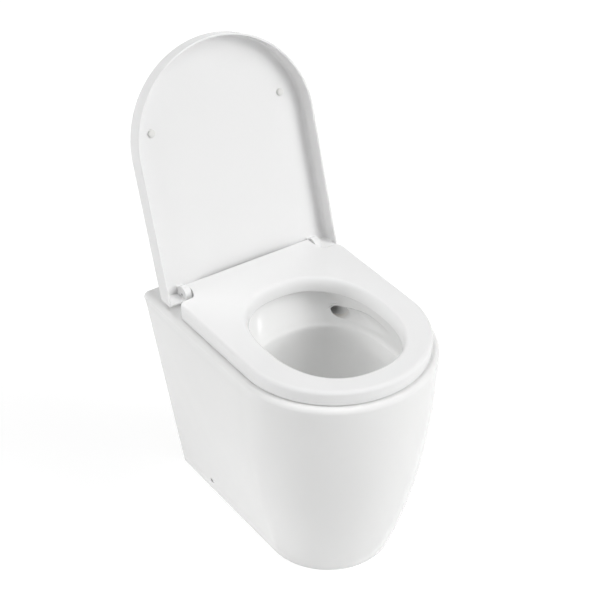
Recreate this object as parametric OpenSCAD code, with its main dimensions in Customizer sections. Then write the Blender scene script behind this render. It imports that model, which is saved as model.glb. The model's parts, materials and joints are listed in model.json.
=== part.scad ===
// Back to wall toilet: a ceramic pan with a soft-close seat and a wrap-over lid.
// Millimetres. +Z is up, the wall is the plane y = 0 and the pan's nose points to -Y.
// The model stands on z = 0 with the lid open and the seat down.

/* [Pan] */
// Width of the pan across its top
pan_w = 360; // [340:1:440]
// Projection of the pan's top from the wall
pan_d = 490; // [480:1:600]
// Height of the rim above the floor
pan_h = 405; // [390:1:490]
// Width of the footprint
foot_w = 226; // [200:1:270]
// Projection of the footprint from the wall
foot_d = 417; // [390:1:470]
// Thickness of the ceramic walls
pan_wall = 9; // [8:0.5:11]
// Thickness of the deck and of the rim
deck_t = 22; // [18:1:28]
// Rounding of the rim's outer edge
rim_round = 9; // [4:1:12]
// Power of the curve that narrows the nose towards the floor
nose_w_power = 1.7; // [1:0.1:3]
// Power of the curve that draws the front of the nose in
nose_d_power = 2.3; // [1:0.1:3]

/* [Bowl] */
// Width of the bowl's mouth
bowl_w = 250; // [240:1:270]
// Rear end of the bowl's mouth, from the wall
bowl_rear = 138; // [134:1:150]
// Thickness of the rim at the nose
rim_front = 42; // [36:1:50]
// Depth from the rim to the flush shelf's edge
shelf_depth = 54; // [50:1:66]
// Width of the flush shelf
shelf_w = 11; // [8:1:14]
// Height of the trap passage's axis at its lowest
dip_h = 58; // [56:1:66]
// Radius of the trap passage
trap_r = 36; // [32:1:37]
// Slope of the trap's rising part
rise_angle = 70; // [60:1:75]

/* [Flush and outlet] */
// Height of the outlet's axis above the floor
outlet_h = 180; // [170:1:190]
// Outer radius of the outlet spigot
outlet_r = 51; // [48:0.5:55]
// Gap from the wall to the outlet spigot's end
outlet_setback = 12; // [5:1:20]
// Depth of the flush inlet's axis below the rim
inlet_depth = 70; // [60:1:80]
// Radius of the flush inlet's bore
inlet_r = 27.5; // [26:0.5:29]
// Gap from the wall to the flush inlet's mouth
inlet_setback = 15; // [8:1:25]
// Radius of the flush pipe that the seal takes
flush_pipe_r = 22.5; // [20:0.5:23]
// Radius of the flush port in the bowl
port_r = 10; // [8:0.5:11]
// Depth of the flush port's axis below the rim
port_depth = 38; // [34:1:40]

/* [Side fixings] */
// Distance of the side fixing holes from the wall
side_fix_y = 109; // [90:1:130]
// Height of the side fixing holes above the floor
side_fix_h = 29; // [25:1:40]
// Radius of the side fixing holes
side_hole_r = 5; // [4.5:0.5:6]
// Radius of the side fixing screws
side_screw_r = 3; // [2.5:0.5:3]
// Distance between the two floor fixing holes
floor_pitch = 140; // [120:1:150]
// Radius of the floor fixing holes
floor_hole_r = 4.25; // [3:0.25:5]

/* [Hinge] */
// Distance of the hinge axis from the wall
axis_y = 65; // [62:1:75]
// Height of the hinge axis above the deck
axis_h = 17; // [17:0.5:18]
// Distance between the seat fixing holes
fix_pitch = 155; // [145:1:165]
// Radius of the seat fixing holes in the deck
fix_hole_r = 7.5; // [6.5:0.5:9]
// Radius of the hinge posts
post_r = 4; // [3.5:0.25:4]
// Width of a hinge block along the axis
block_w = 33; // [28:1:34]
// Radius of a hinge block's barrel
block_r = 7; // [6.5:0.25:7]
// Radius of the damper housings
damper_r = 6.5; // [6:0.25:6.5]
// Radius of the rotors and the pivot pin
pin_r = 3; // [2.5:0.25:3.25]
// Travel of the push buttons
button_travel = 3; // [2:0.5:3]
// Height that the seat and lid lift off the posts, for the motion checks
lift_off = 60; // [40:1:80]

/* [Seat] */
// Inset of the seat's outline from the pan's
seat_inset = 12; // [11:1:16]
// Gap from the rim to the underside of the seat
seat_gap = 2; // [1.5:0.5:2.5]
// Thickness of the seat
seat_t = 26; // [25:0.5:27]
// Rounding of the seat's upper edge
seat_round = 7; // [3:0.5:7]
// Width of the seat's opening
seat_open_w = 234; // [210:1:240]
// Width of the ring at the nose
seat_front = 41; // [38:1:60]
// Rear end of the opening, from the wall
seat_open_rear = 142; // [140:1:160]
// Half width of the seat's rear part, between the hinge notches
tongue_w = 127; // [125:0.5:128]
// Gap from the lid's lugs to the front edge of the seat's hinge notches
notch_gap = 13; // [10:1:20]
// Rounding of the seat's corners beside the notches
notch_round = 13; // [6:1:14]
// Radius of the seat's knuckles
knuckle_r = 13.5; // [13:0.1:13.5]
// Thickness of the seat's skin over its hollow underside
seat_skin = 3.5; // [3:0.5:4]
// Largest angle that the seat swings up
seat_up = 100; // [80:1:100]

/* [Lid] */
// Inset of the lid's outline from the pan's
lid_inset = 6; // [5:0.5:7]
// Thickness of the lid
lid_t = 4; // [3:0.5:4.5]
// Space between the seat and the closed lid
lid_air = 4; // [4:0.5:8]
// Gap from the rim to the closed lid's edge
lid_rim_gap = 3; // [2:0.5:5]
// Rounding of the lid's outer edge
lid_round = 6; // [4:0.5:8]
// Rounding between the lid's skirt and its flat inside
lid_fillet = 7; // [5:0.5:9]
// Distance of the closed lid's rear edge behind the hinge axis
lid_overhang = 7; // [5:1:8]
// Radius of the lid's hinge lugs
lug_r = 15; // [13:0.5:15]
// Width of a lug along the axis
lug_w = 12.5; // [10:0.5:14]
// Height of the open lid's skirt ends below the hinge axis
skirt_end = 5; // [3:0.5:8]
// Thickness of the wall that closes each end of the skirt
end_wall_t = 2.5; // [2:0.5:4]
// Angle that the lid opens from closed
lid_open = 107.5; // [90:0.5:110]
// Radius of a lid bumper
lid_bumper_r = 7; // [5:0.5:9]
// Inset of the lid bumpers from the seat's outline
lid_bumper_inset = 33.5; // [25:0.5:36]
// Angle of the lid bumpers round the nose, from its left and right ends
lid_bumper_angle = 16.4; // [0:0.1:40]

/* [Clearances] */
// Gap of a running fit, on the radius
run_gap = 0.15; // [0.1:0.05:0.3]
// Gap between faces that pass each other
side_gap = 1.5; // [1:0.25:2]
// Gap at a seat that rests or closes on another piece
rest_gap = 0.2; // [0.1:0.05:0.3]

/* [Hidden] */

// Segments of the curved outlines and of the round surfaces
nose_steps = 24;
side_steps = 5;
$fn = 64;
// A little more than a cut's own depth
over = 1;

// Outline of the pan: straight sides that end in a half round nose
nose_y = pan_d - pan_w / 2;
foot_nose_y = nose_y - 5;

// Heights, from the floor up
inlet_h = pan_h - inlet_depth;
seat_z = pan_h + seat_gap;
seat_top = seat_z + seat_t;
lid_in_z = seat_top + lid_air;
lid_top = lid_in_z + lid_t;
lid_rim_z = pan_h + lid_rim_gap;
axis_z = pan_h + axis_h;

// Half widths of the seat and the lid, whose noses share the pan's centre
seat_hw = pan_w / 2 - seat_inset;
lid_hw = pan_w / 2 - lid_inset;

// Places along the hinge axis, from the middle outwards
block_in = fix_pitch / 2 - block_w / 2;
block_out = fix_pitch / 2 + block_w / 2;
knuckle_in = block_out + side_gap;
lug_in = tongue_w + side_gap;
lug_out = lug_in + lug_w;
notch_y = axis_y + lug_r + notch_gap;
lid_rear = axis_y - lid_overhang;
pin_depth = 12;
rotor_depth = 17;

// Height of the pan's wall as a share of its full height
function share(z) = min(max(z / pan_h, 0), 1);
// Half width of the pan at height z, at the wall and where the nose starts
function rear_hw(z) = foot_w / 2 + (pan_w - foot_w) / 2 * share(z);
function nose_hw(z) = pan_w / 2 - (pan_w - foot_w) / 2 * pow(1 - share(z), nose_w_power);
// Start of the nose and its depth at height z
function nose_start(z) = foot_nose_y + (nose_y - foot_nose_y) * share(z);
function nose_depth(z) = pan_d - (pan_d - foot_d) * pow(1 - share(z), nose_d_power) - nose_start(z);
// Half width of the pan at height z and distance y from the wall
function side_hw(z, y) = let (t = min(y / nose_start(z), 1))
    rear_hw(z) + (nose_hw(z) - rear_hw(z)) * (1 - pow(1 - t, 2));

// Left side of an outline, from the wall to the start of the nose, drawn in by inset
function left_side(z, inset, rear) = [for (i = [0 : side_steps - 1])
    let (y = rear + (nose_start(z) - rear) * i / side_steps) [inset - side_hw(z, max(y, 0)), -y]];
// The nose, from its left end to its right end
function nose(z, inset) = [for (i = [0 : nose_steps]) let (a = 180 * i / nose_steps)
    [-(nose_hw(z) - inset) * cos(a), -nose_start(z) - (nose_depth(z) - inset) * sin(a)]];
// Whole outline at height z
function outline(z, inset, rear) = let (left = left_side(z, inset, rear))
    concat(left, nose(z, inset), [for (i = [len(left) - 1 : -1 : 0]) [-left[i][0], left[i][1]]]);
// An outline's points raised to height z
function raised(points, z) = [for (p = points) [p[0], p[1], z]];

// Heights of the rings of the shell
shell_z = [for (s = [0.001, 0.06, 0.13, 0.22, 0.34, 0.48, 0.64, 0.82]) s * pan_h];
// Angles of the rings that round the rim's edge
round_angles = [0, 30, 60, 90];

// Oval between a rear and a front end; power 2 is an ellipse, more is squarer
function oval(hw, rear, front, power, steps) = [for (i = [0 : steps - 1])
    let (a = 360 * i / steps, c = cos(a), s = sin(a), n = 2 / power, long = (front - rear) / 2)
    [hw * sign(c) * pow(abs(c), n), -(front + rear) / 2 + long * sign(s) * pow(abs(s), n)]];

// Bowl: each row holds a ring's depth below the rim, half width, rear end and front end
bowl_front = pan_d - rim_front;
bowl_hw = bowl_w / 2;
bowl_steps = 40;
bowl_power = 2.4;
sump_y = 236;
sump_depth = shelf_depth + 205;
bowl_rows = [
    [-1, bowl_hw + 4, bowl_rear - 4, bowl_front + 4],
    [4, bowl_hw, bowl_rear, bowl_front],
    [shelf_depth - 18, bowl_hw - 2, bowl_rear + 20, bowl_front - 1],
    [shelf_depth - 4, bowl_hw - 4, bowl_rear + 28, bowl_front - 2],
    [shelf_depth, bowl_hw - shelf_w, bowl_rear + 25 + shelf_w, bowl_front - shelf_w],
    [shelf_depth + 40, bowl_hw - 24, bowl_rear + 44, bowl_front - 30],
    [shelf_depth + 90, bowl_hw - 45, bowl_rear + 56, bowl_front - 74],
    [shelf_depth + 135, bowl_hw - 66, bowl_rear + 61, bowl_front - 118],
    [shelf_depth + 172, bowl_hw - 80, bowl_rear + 60, bowl_front - 150],
    [sump_depth, 40, sump_y - 40, sump_y + 44]];
// Ring of the bowl, moved outwards and down
function bowl_ring(row, out, down) = raised(
    oval(row[1] + out, row[2] - out, row[3] + out, bowl_power, bowl_steps), pan_h - row[0] - down);

// Trap passage: its heading turns from straight down to the rise and then level, on two bends
bend_r = trap_r + pan_wall + 3;
trap_steps = 24;
low_mid = [bend_r - sump_y, dip_h + bend_r];
low_end = low_mid + bend_r * [sin(rise_angle), -cos(rise_angle)];
high_start_z = outlet_h - bend_r + bend_r * cos(rise_angle);
high_start_y = low_end[0] + (high_start_z - low_end[1]) / tan(rise_angle);
high_mid = [high_start_y + bend_r * sin(rise_angle), outlet_h - bend_r];
trap_start = pan_h - sump_depth + 14;
low_turns = [-90, -60, -30, 0, 25, 48, rise_angle];
high_turns = [rise_angle, 48, 24, 0];
// Each stop holds a ring's place in y and z and its heading
function trap_stops(end_y) = concat([[-sump_y, trap_start, -90]],
    [for (h = low_turns) concat(low_mid + bend_r * [sin(h), -cos(h)], h)],
    [for (h = high_turns) concat(high_mid + bend_r * [-sin(h), cos(h)], h)],
    [[-end_y, outlet_h, 0]]);
function trap_ring(stop, r) = [for (i = [0 : trap_steps - 1]) let (a = 360 * i / trap_steps)
    [-r * cos(a), stop[0] - r * sin(a) * sin(stop[2]), stop[1] + r * sin(a) * cos(stop[2])]];

// Floor brackets, side sleeves, and what clamps the hinge posts to the deck
bracket_t = 4;
bracket_len = 32;
bracket_h = side_fix_h + 14;
sleeve_gap = 0.2;
gasket_t = 1.2;
flange_t = 2.5;
flange_r = 12;
nut_t = 8;
nut_r = 11;
bush_len = 16;
stud_r = 3;
stud_z = pan_h - deck_t - bush_len - nut_t - 6;
post_top = axis_z - pin_r - 3.5;
flange_z = pan_h + gasket_t;
block_z = flange_z + flange_t + rest_gap;
stem_hw = block_r + 0.4;
slider_z = block_z + 1.5;
slider_t = 2;
slider_hw = stem_hw - 1.6;
button_len = 5;
bumper_r = 8;
// Place on a circle about the nose's centre, at an angle from its left or right end
function round_nose(r, a) = [r * cos(a), nose_y + r * sin(a)];
front_bumper = round_nose(seat_hw - 18, 38);
rear_bumper = [seat_hw - 25, seat_open_rear + 38];
lid_bumper = round_nose(seat_hw - lid_bumper_inset, lid_bumper_angle);
dot_r = 1.9;

// Solid between rings that hold the same number of points each
module loft(rings) {
    n = len(rings[0]);
    last = (len(rings) - 1) * n;
    points = [for (ring = rings) for (p = ring) p];
    sides = [for (k = [0 : len(rings) - 2]) for (i = [0 : n - 1])
        let (a = k * n + i, b = a + n, c = k * n + (i + 1) % n, d = c + n)
        each [[a, b, d], [a, d, c]]];
    // The caps start at the middle of the ring, where no three points lie on one line
    h = floor(n / 2);
    polyhedron(points, concat([[for (i = [0 : n - 1]) (i + h) % n]], sides,
                              [[for (i = [n - 1 : -1 : 0]) last + (i + h) % n]]));
}

// Cylinder along X between two places, on a line through y and z
module x_rod(r, x0, x1, y = -axis_y, z = axis_z) {
    translate([min(x0, x1), y, z]) rotate([0, 90, 0]) cylinder(r = r, h = abs(x1 - x0));
}

// Cylinder along Y, from distance y0 to distance y1 from the wall
module y_rod(r, y0, y1, x, z) {
    translate([x, -y0, z]) rotate([90, 0, 0]) cylinder(r = r, h = y1 - y0);
}

// Box between two corners
module box(low, high) {
    translate(low) cube(high - low);
}

// Child at the right side, and its mirror image at the left
module both_sides() {
    children();
    mirror([1, 0, 0]) children();
}

// Half profile swept along the straight sides and round the nose
module d_sweep(rear) {
    translate([0, -nose_y, 0]) rotate([0, 0, 180]) rotate_extrude(angle = 180) children();
    translate([0, -rear, 0]) rotate([90, 0, 0]) linear_extrude(nose_y - rear) {
        children();
        mirror([1, 0, 0]) children();
    }
}

// Rectangle from the middle out to half width hw, with its upper outer corner rounded
module rounded_half(hw, z0, z1, r) {
    translate([0, z0]) square([hw - r, z1 - z0]);
    translate([0, z0]) square([hw, z1 - z0 - r]);
    translate([hw - r, z1 - r]) circle(r);
}

// Everything on the lid is drawn closed and then swung open
module opened() {
    translate([0, -axis_y, axis_z]) rotate([-lid_open, 0, 0]) translate([0, axis_y, -axis_z])
        children();
}

// The shell runs a little past the floor, the wall and the deck, and is then cut flat there
module shell_outside() {
    top = [for (a = round_angles) raised(
        outline(pan_h, rim_round * (1 - cos(a)), -over), pan_h - rim_round * (1 - sin(a)))];
    loft(concat([raised(outline(0, 0, -over), -over)],
                [for (z = shell_z) raised(outline(z, 0, -over), z)], top,
                [raised(outline(pan_h, rim_round, -over), pan_h + over)]));
}

module beyond_floor_wall_deck() {
    box([-pan_w, -2 * pan_d, -10 * over], [pan_w, pan_d, 0]);
    box([-pan_w, 0, -5 * over], [pan_w, pan_d, pan_h + 5 * over]);
    box([-pan_w, -2 * pan_d, pan_h], [pan_w, pan_d, pan_h + 10 * over]);
}

// Hollow inside the shell, open below and behind
module shell_inside() {
    top = pan_h - deck_t;
    levels = [-2 * over, 0.13 * pan_h, 0.3 * pan_h, 0.5 * pan_h, 0.75 * pan_h, top];
    loft([for (z = levels) raised(outline(z, pan_wall, -2 * over), z)]);
}

module bowl_space(out, down, first) {
    loft([for (i = [len(bowl_rows) - 1 : -1 : first]) bowl_ring(bowl_rows[i], out, down)]);
}

module trap_space(r, end_y) {
    loft([for (stop = trap_stops(end_y)) trap_ring(stop, r)]);
}

// Flush water's way: in from the wall, across behind the bowl and forwards to its right wall
port_x = 100;
port_z = pan_h - port_depth;
cross_y = 112;
cross_z = port_z - 6;
module flush_way(grow, rear, front) {
    y_rod(inlet_r + grow, rear, 62, 0, inlet_h);
    y_rod(17 + grow, 62 - over, cross_y + 12, 0, inlet_h + 8);
    x_rod(port_r + 2 + grow, 0, port_x + port_r + grow, -cross_y, cross_z);
    y_rod(port_r + grow, cross_y - port_r, front, port_x, port_z);
}

module pan() {
    color("white") difference() {
        union() {
            difference() {
                shell_outside();
                shell_inside();
            }
            bowl_space(pan_wall, 6, 1);
            trap_space(trap_r + pan_wall, 40);
            y_rod(outlet_r, outlet_setback, 65, 0, outlet_h);
            intersection() {
                flush_way(7, inlet_setback, 205);
                box([-pan_w, -nose_y, 0], [pan_w, 0, pan_h - over]);
            }
            // Bosses under the deck for the seat fixings
            both_sides() translate([fix_pitch / 2, -axis_y, pan_h - deck_t - 4])
                cylinder(r = fix_hole_r + 9, h = deck_t);
            // Bosses behind the side fixing holes
            both_sides() x_rod(side_hole_r + 6, side_hw(side_fix_h, side_fix_y) - pan_wall - 3,
                side_hw(side_fix_h, side_fix_y) - 4, -side_fix_y, side_fix_h);
        }
        bowl_space(0, 0, 0);
        trap_space(trap_r, 30);
        y_rod(outlet_r - 7, outlet_setback - over, 40, 0, outlet_h);
        flush_way(0, inlet_setback - over, 225);
        both_sides() translate([fix_pitch / 2, -axis_y, 0]) cylinder(r = fix_hole_r, h = pan_h + over);
        both_sides() x_rod(side_hole_r, foot_w / 2 - 25, pan_w / 2, -side_fix_y, side_fix_h);
        beyond_floor_wall_deck();
    }
}

module flush_seal() {
    color("dimgray") difference() {
        union() {
            y_rod(inlet_r - rest_gap, inlet_setback - over, 52, 0, inlet_h);
            y_rod(inlet_r + 4, inlet_setback - 4, inlet_setback, 0, inlet_h);
        }
        y_rod(flush_pipe_r, inlet_setback - 5, 53, 0, inlet_h);
    }
}

// Upright face of a floor bracket stands just inside the boss of the pan's side fixing hole
bracket_x = side_hw(side_fix_h, side_fix_y) - pan_wall - 3 - rest_gap;
bracket_foot_x = rear_hw(0) - pan_wall - 2;

module floor_bracket_right() {
    color("silver") difference() {
        union() {
            box([floor_pitch / 2 - 14, -side_fix_y - bracket_len / 2, 0],
                [bracket_foot_x, -side_fix_y + bracket_len / 2, bracket_t]);
            box([bracket_foot_x - bracket_t, -side_fix_y - bracket_len / 2, 0],
                [bracket_foot_x, -side_fix_y + bracket_len / 2, bracket_h]);
            x_rod(side_screw_r + 4, bracket_foot_x - 12, bracket_x, -side_fix_y, side_fix_h);
        }
        translate([floor_pitch / 2, -side_fix_y, -over]) cylinder(r = floor_hole_r, h = 3 * bracket_t);
        x_rod(side_screw_r, bracket_foot_x - 13, bracket_x + over, -side_fix_y, side_fix_h);
    }
}

module floor_bracket_left() {
    mirror([1, 0, 0]) floor_bracket_right();
}

sleeve_out = side_hw(side_fix_h, side_fix_y) - 7;
screw_head_t = 3;
module side_sleeves() {
    color("whitesmoke") both_sides() difference() {
        x_rod(side_hole_r - rest_gap, bracket_x + rest_gap, sleeve_out, -side_fix_y, side_fix_h);
        x_rod(side_screw_r + sleeve_gap, bracket_x, sleeve_out + over, -side_fix_y, side_fix_h);
    }
}

module side_screws() {
    color("silver") both_sides() difference() {
        union() {
            x_rod(side_screw_r, bracket_foot_x - 10, sleeve_out + over, -side_fix_y, side_fix_h);
            x_rod(side_hole_r - 0.5, sleeve_out, sleeve_out + screw_head_t - over, -side_fix_y, side_fix_h);
        }
        x_rod(1.5, sleeve_out, sleeve_out + screw_head_t, -side_fix_y, side_fix_h);
    }
}

module hinge_post_right() {
    color("silver") translate([fix_pitch / 2, -axis_y, 0]) {
        translate([0, 0, flange_z]) cylinder(r = flange_r, h = flange_t);
        translate([0, 0, flange_z]) cylinder(r = post_r, h = post_top - flange_z);
        translate([0, 0, stud_z]) cylinder(r = stud_r, h = flange_z - stud_z + over);
    }
}

module hinge_post_left() {
    mirror([1, 0, 0]) hinge_post_right();
}

module post_gaskets() {
    color("gainsboro") both_sides() translate([fix_pitch / 2, -axis_y, pan_h]) difference() {
        cylinder(r = flange_r + 1, h = gasket_t);
        translate([0, 0, -over]) cylinder(r = stud_r + run_gap, h = gasket_t + 2 * over);
    }
}

// Rubber bushes fill the deck's holes and bulge under it
module expansion_bushes() {
    color("dimgray") both_sides() translate([fix_pitch / 2, -axis_y, 0]) difference() {
        translate([0, 0, stud_z + 6 + nut_t]) cylinder(r = fix_hole_r - rest_gap, h = deck_t + bush_len);
        translate([0, 0, stud_z]) cylinder(r = stud_r + run_gap, h = pan_h);
    }
}

module clamp_nuts() {
    color("silver") both_sides() translate([fix_pitch / 2, -axis_y, stud_z + 6]) difference() {
        cylinder(r = nut_r, h = nut_t, $fn = 6);
        translate([0, 0, -over]) cylinder(r = stud_r, h = nut_t + 2 * over);
    }
}

// Block with a barrel on the axis and a stem that stands on the post's flange
module hinge_block(housing) {
    color("whitesmoke") difference() {
        union() {
            x_rod(block_r, block_in, block_out);
            box([block_in, -axis_y - stem_hw, block_z], [block_out, -axis_y + stem_hw, axis_z]);
        }
        translate([fix_pitch / 2, -axis_y, 0]) cylinder(r = post_r + run_gap, h = post_top + 0.3);
        box([block_in - over, -axis_y - slider_hw - run_gap, slider_z - run_gap],
            [fix_pitch / 2 + 14 + button_travel, -axis_y + slider_hw + run_gap,
             slider_z + slider_t + run_gap]);
        if (housing) x_rod(damper_r - 1, block_out - 8, block_out + over);
        else x_rod(pin_r, block_in + 10, block_out + over);
    }
}

module hinge_block_right() {
    hinge_block(true);
}

module hinge_block_left() {
    mirror([1, 0, 0]) hinge_block(false);
}

// Plate with a slot round the post, and the push button at its inner end
module latch_slider_right() {
    color("lightgray") difference() {
        union() {
            box([block_in - 2, -axis_y - slider_hw, slider_z],
                [fix_pitch / 2 + 10, -axis_y + slider_hw, slider_z + slider_t]);
            box([block_in - button_travel - button_len, -axis_y - slider_hw, slider_z - over],
                [block_in - button_travel - rest_gap, -axis_y + slider_hw, slider_z + slider_t + 3]);
            box([block_in - button_travel - 2, -axis_y - slider_hw, slider_z],
                [block_in, -axis_y + slider_hw, slider_z + slider_t]);
        }
        translate([fix_pitch / 2, -axis_y, slider_z - over]) {
            cylinder(r = post_r + run_gap, h = slider_t + 2 * over);
            translate([-button_travel, 0, 0]) cylinder(r = post_r + run_gap, h = slider_t + 2 * over);
            translate([-button_travel, -post_r - run_gap, 0])
                cube([button_travel, 2 * (post_r + run_gap), slider_t + 2 * over]);
        }
    }
}

module latch_slider_left() {
    mirror([1, 0, 0]) latch_slider_right();
}

// Left: the seat's damper, whose rotor is held by the left block
module seat_damper_housing() {
    color("dimgray") difference() {
        x_rod(damper_r, -knuckle_in, -tongue_w + 1);
        x_rod(pin_r + run_gap, -knuckle_in + over, -knuckle_in - 9);
        x_rod(pin_r + run_gap, -tongue_w, -tongue_w + 1 + pin_depth);
    }
}

module seat_damper_rotor() {
    color("silver") x_rod(pin_r, -knuckle_in - 8, -block_in - 10 - rest_gap);
}

// The lid's left lug turns on this pin in the outer end of the seat's damper
module lid_pivot_pin() {
    color("silver") opened() x_rod(pin_r, -lug_out + 4, -tongue_w + pin_depth);
}

// Right: the lid's damper, whose housing is keyed in the right block
module lid_damper_housing() {
    color("dimgray") difference() {
        union() {
            x_rod(damper_r, block_out, tongue_w);
            x_rod(damper_r - 1, block_out - 8 + rest_gap, block_out);
        }
        x_rod(pin_r + run_gap, tongue_w - rotor_depth, tongue_w + over);
    }
}

module lid_damper_rotor() {
    color("silver") opened() x_rod(pin_r, tongue_w - rotor_depth + 1, lug_out - 4);
}

module seat_bush() {
    color("gainsboro") difference() {
        x_rod(damper_r + 1.5, knuckle_in, tongue_w);
        x_rod(damper_r + run_gap, knuckle_in - over, tongue_w + over);
    }
}

// Outline of the seat's opening, drawn out by grow
open_front = pan_d - seat_inset - seat_front;
function opening(grow) =
    oval(seat_open_w / 2 + grow, seat_open_rear - grow, open_front + grow, 2.45, 72);

// Cross-section of the room that the hinge block needs in the seat, on the hinge axis
module block_room() {
    o = stem_hw + 0.6;
    a = seat_up - 90;
    far = 60;
    p = [-o * sin(a), o * cos(a)];
    polygon([[-o, 0], [-o, -far], [far, -far], [far, far * sin(a)], p + far * [cos(a), sin(a)], p]);
    circle(damper_r + 2);
}

module seat_ring() {
    wall = 5;
    color("white") difference() {
        union() {
            difference() {
                d_sweep(axis_y) rounded_half(seat_hw, seat_z, seat_top, seat_round);
                // Hinge notches at the rear corners, with rounded corners beside them
                both_sides() {
                    box([tongue_w, -notch_y, seat_z - over], [pan_w, 0, lid_top]);
                    translate([seat_hw - notch_round, -notch_y - notch_round, seat_z - over])
                        difference() {
                            cube([2 * notch_round, 2 * notch_round, seat_t + 2 * over]);
                            translate([0, 0, -over]) cylinder(r = notch_round, h = 2 * seat_t);
                        }
                }
            }
            // Rear edge, rounded on the hinge axis
            intersection() {
                x_rod(knuckle_r, -tongue_w, tongue_w);
                box([-tongue_w, -axis_y - over, axis_z - knuckle_r], [tongue_w, 0, seat_top]);
            }
        }
        translate([0, 0, seat_z - over]) linear_extrude(2 * seat_t) polygon(opening(0));
        // Hollow underside of the ring
        translate([0, 0, seat_z - over]) linear_extrude(seat_t - 2 * seat_skin + over) difference() {
            union() {
                translate([0, -nose_y]) circle(seat_hw - 8);
                translate([-seat_hw + 8, -nose_y]) square([2 * seat_hw - 16, nose_y - seat_open_rear]);
            }
            polygon(opening(8));
        }
        // Room for the hinge blocks, under the seat's rear part
        translate([-knuckle_in, -axis_y, axis_z]) rotate([90, 0, 90])
            linear_extrude(2 * knuckle_in) block_room();
        box([-knuckle_in, -seat_open_rear + wall, seat_z - over],
            [knuckle_in, -axis_y, seat_top - seat_skin]);
        // Seats of the damper and of the bush
        x_rod(damper_r, -knuckle_in, -tongue_w - over);
        x_rod(damper_r + 1.5, knuckle_in, tongue_w + over);
    }
}

module seat_bumper(x, y) {
    translate([x, -y, pan_h + rest_gap]) cylinder(r = bumper_r, h = seat_t - 2 * seat_skin + seat_gap - rest_gap);
}

module seat_bumpers_front() {
    color("gainsboro") both_sides() seat_bumper(front_bumper[0], front_bumper[1]);
}

module seat_bumpers_rear() {
    color("gainsboro") both_sides() seat_bumper(rear_bumper[0], rear_bumper[1]);
}

// Slab that lies level when the lid stands open, between two heights from the hinge axis
module open_slab(low, high) {
    translate([0, -axis_y, axis_z]) rotate([lid_open, 0, 0])
        box([-pan_w, -2 * lug_r, low], [pan_w, 2 * lug_r, high]);
}

module lid_closed() {
    difference() {
        d_sweep(axis_y - lug_r) rounded_half(lid_hw, lid_rim_z, lid_top, lid_round);
        difference() {
            translate([0, 0, -over]) d_sweep(axis_y - lug_r - over)
                rounded_half(lid_hw - lid_t, lid_rim_z, lid_in_z + over, lid_fillet);
            // End wall of the skirt at each side, which carries the lug
            intersection() {
                open_slab(-2 * lug_r, end_wall_t - skirt_end);
                both_sides() box([lug_in, -2 * axis_y, 0], [pan_w, 0, 2 * pan_h]);
            }
        }
        // The skirt ends level when the lid stands open
        intersection() {
            open_slab(-4 * lug_r, -skirt_end);
            both_sides() box([lug_in - over, -2 * axis_y, 0], [pan_w, 0, 2 * pan_h]);
        }
        box([-lug_in, -lid_rear, 0], [lug_in, 0, 2 * pan_h]);
    }
    // Lugs on the hinge axis, joined to the flat of the lid
    both_sides() {
        x_rod(lug_r, lug_in, lug_out);
        box([lug_in, -axis_y - lug_r, axis_z], [lug_out, -lid_rear - 3, lid_in_z + over]);
    }
}

module lid() {
    color("white") opened() difference() {
        lid_closed();
        x_rod(pin_r, -lug_out + 4, -lug_in + over);
        x_rod(dot_r, -lug_out - over, -lug_out + 3);
        x_rod(pin_r, lug_in - over, lug_out - 4);
        x_rod(dot_r, lug_out - 3, lug_out + over);
    }
}

module lid_bumpers() {
    color("gainsboro") opened() both_sides()
        translate([lid_bumper[0], -lid_bumper[1], seat_top + rest_gap + 0.1])
            cylinder(r = lid_bumper_r, h = lid_air - rest_gap - 0.1);
}

pan();
flush_seal();
floor_bracket_left();
floor_bracket_right();
side_sleeves();
side_screws();
hinge_post_left();
hinge_post_right();
post_gaskets();
expansion_bushes();
clamp_nuts();
hinge_block_left();
hinge_block_right();
latch_slider_left();
latch_slider_right();
seat_damper_housing();
seat_damper_rotor();
lid_damper_housing();
lid_damper_rotor();
lid_pivot_pin();
seat_bush();
seat_ring();
seat_bumpers_front();
seat_bumpers_rear();
lid();
lid_bumpers();
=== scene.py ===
"""Back to wall toilet: ceramic pan, soft-close seat ring and wrap-over lid, on a white stage.

Sizes in the classes are millimetres in the frame's axes: +X right, +Y to the wall, +Z up.
Distances called y are counted from the wall towards the nose, so they become -Y.
"""
import json
import logging
import math
from dataclasses import dataclass, field
from enum import Enum
from typing import Callable, Iterable, Iterator, Sequence

import bmesh
import bpy
from mathutils import Matrix, Vector


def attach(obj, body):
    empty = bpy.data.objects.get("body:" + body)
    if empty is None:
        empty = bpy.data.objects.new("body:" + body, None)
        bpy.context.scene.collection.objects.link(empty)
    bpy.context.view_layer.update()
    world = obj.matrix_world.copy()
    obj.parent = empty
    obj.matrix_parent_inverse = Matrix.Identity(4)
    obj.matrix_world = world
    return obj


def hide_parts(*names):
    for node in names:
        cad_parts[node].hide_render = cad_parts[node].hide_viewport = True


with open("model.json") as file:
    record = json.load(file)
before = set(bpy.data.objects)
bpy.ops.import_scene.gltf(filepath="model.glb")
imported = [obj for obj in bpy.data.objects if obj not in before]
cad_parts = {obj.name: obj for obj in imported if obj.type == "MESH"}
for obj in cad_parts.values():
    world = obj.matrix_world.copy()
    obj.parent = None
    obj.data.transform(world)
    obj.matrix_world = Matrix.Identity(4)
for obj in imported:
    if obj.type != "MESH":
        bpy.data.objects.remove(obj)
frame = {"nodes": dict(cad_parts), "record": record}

LOG = logging.getLogger("toilet")
MM = 0.001
# Angles in degrees above which an edge between two faces stays sharp
SHARP, SHARP_MOULDING = 32.0, 40.0
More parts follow.
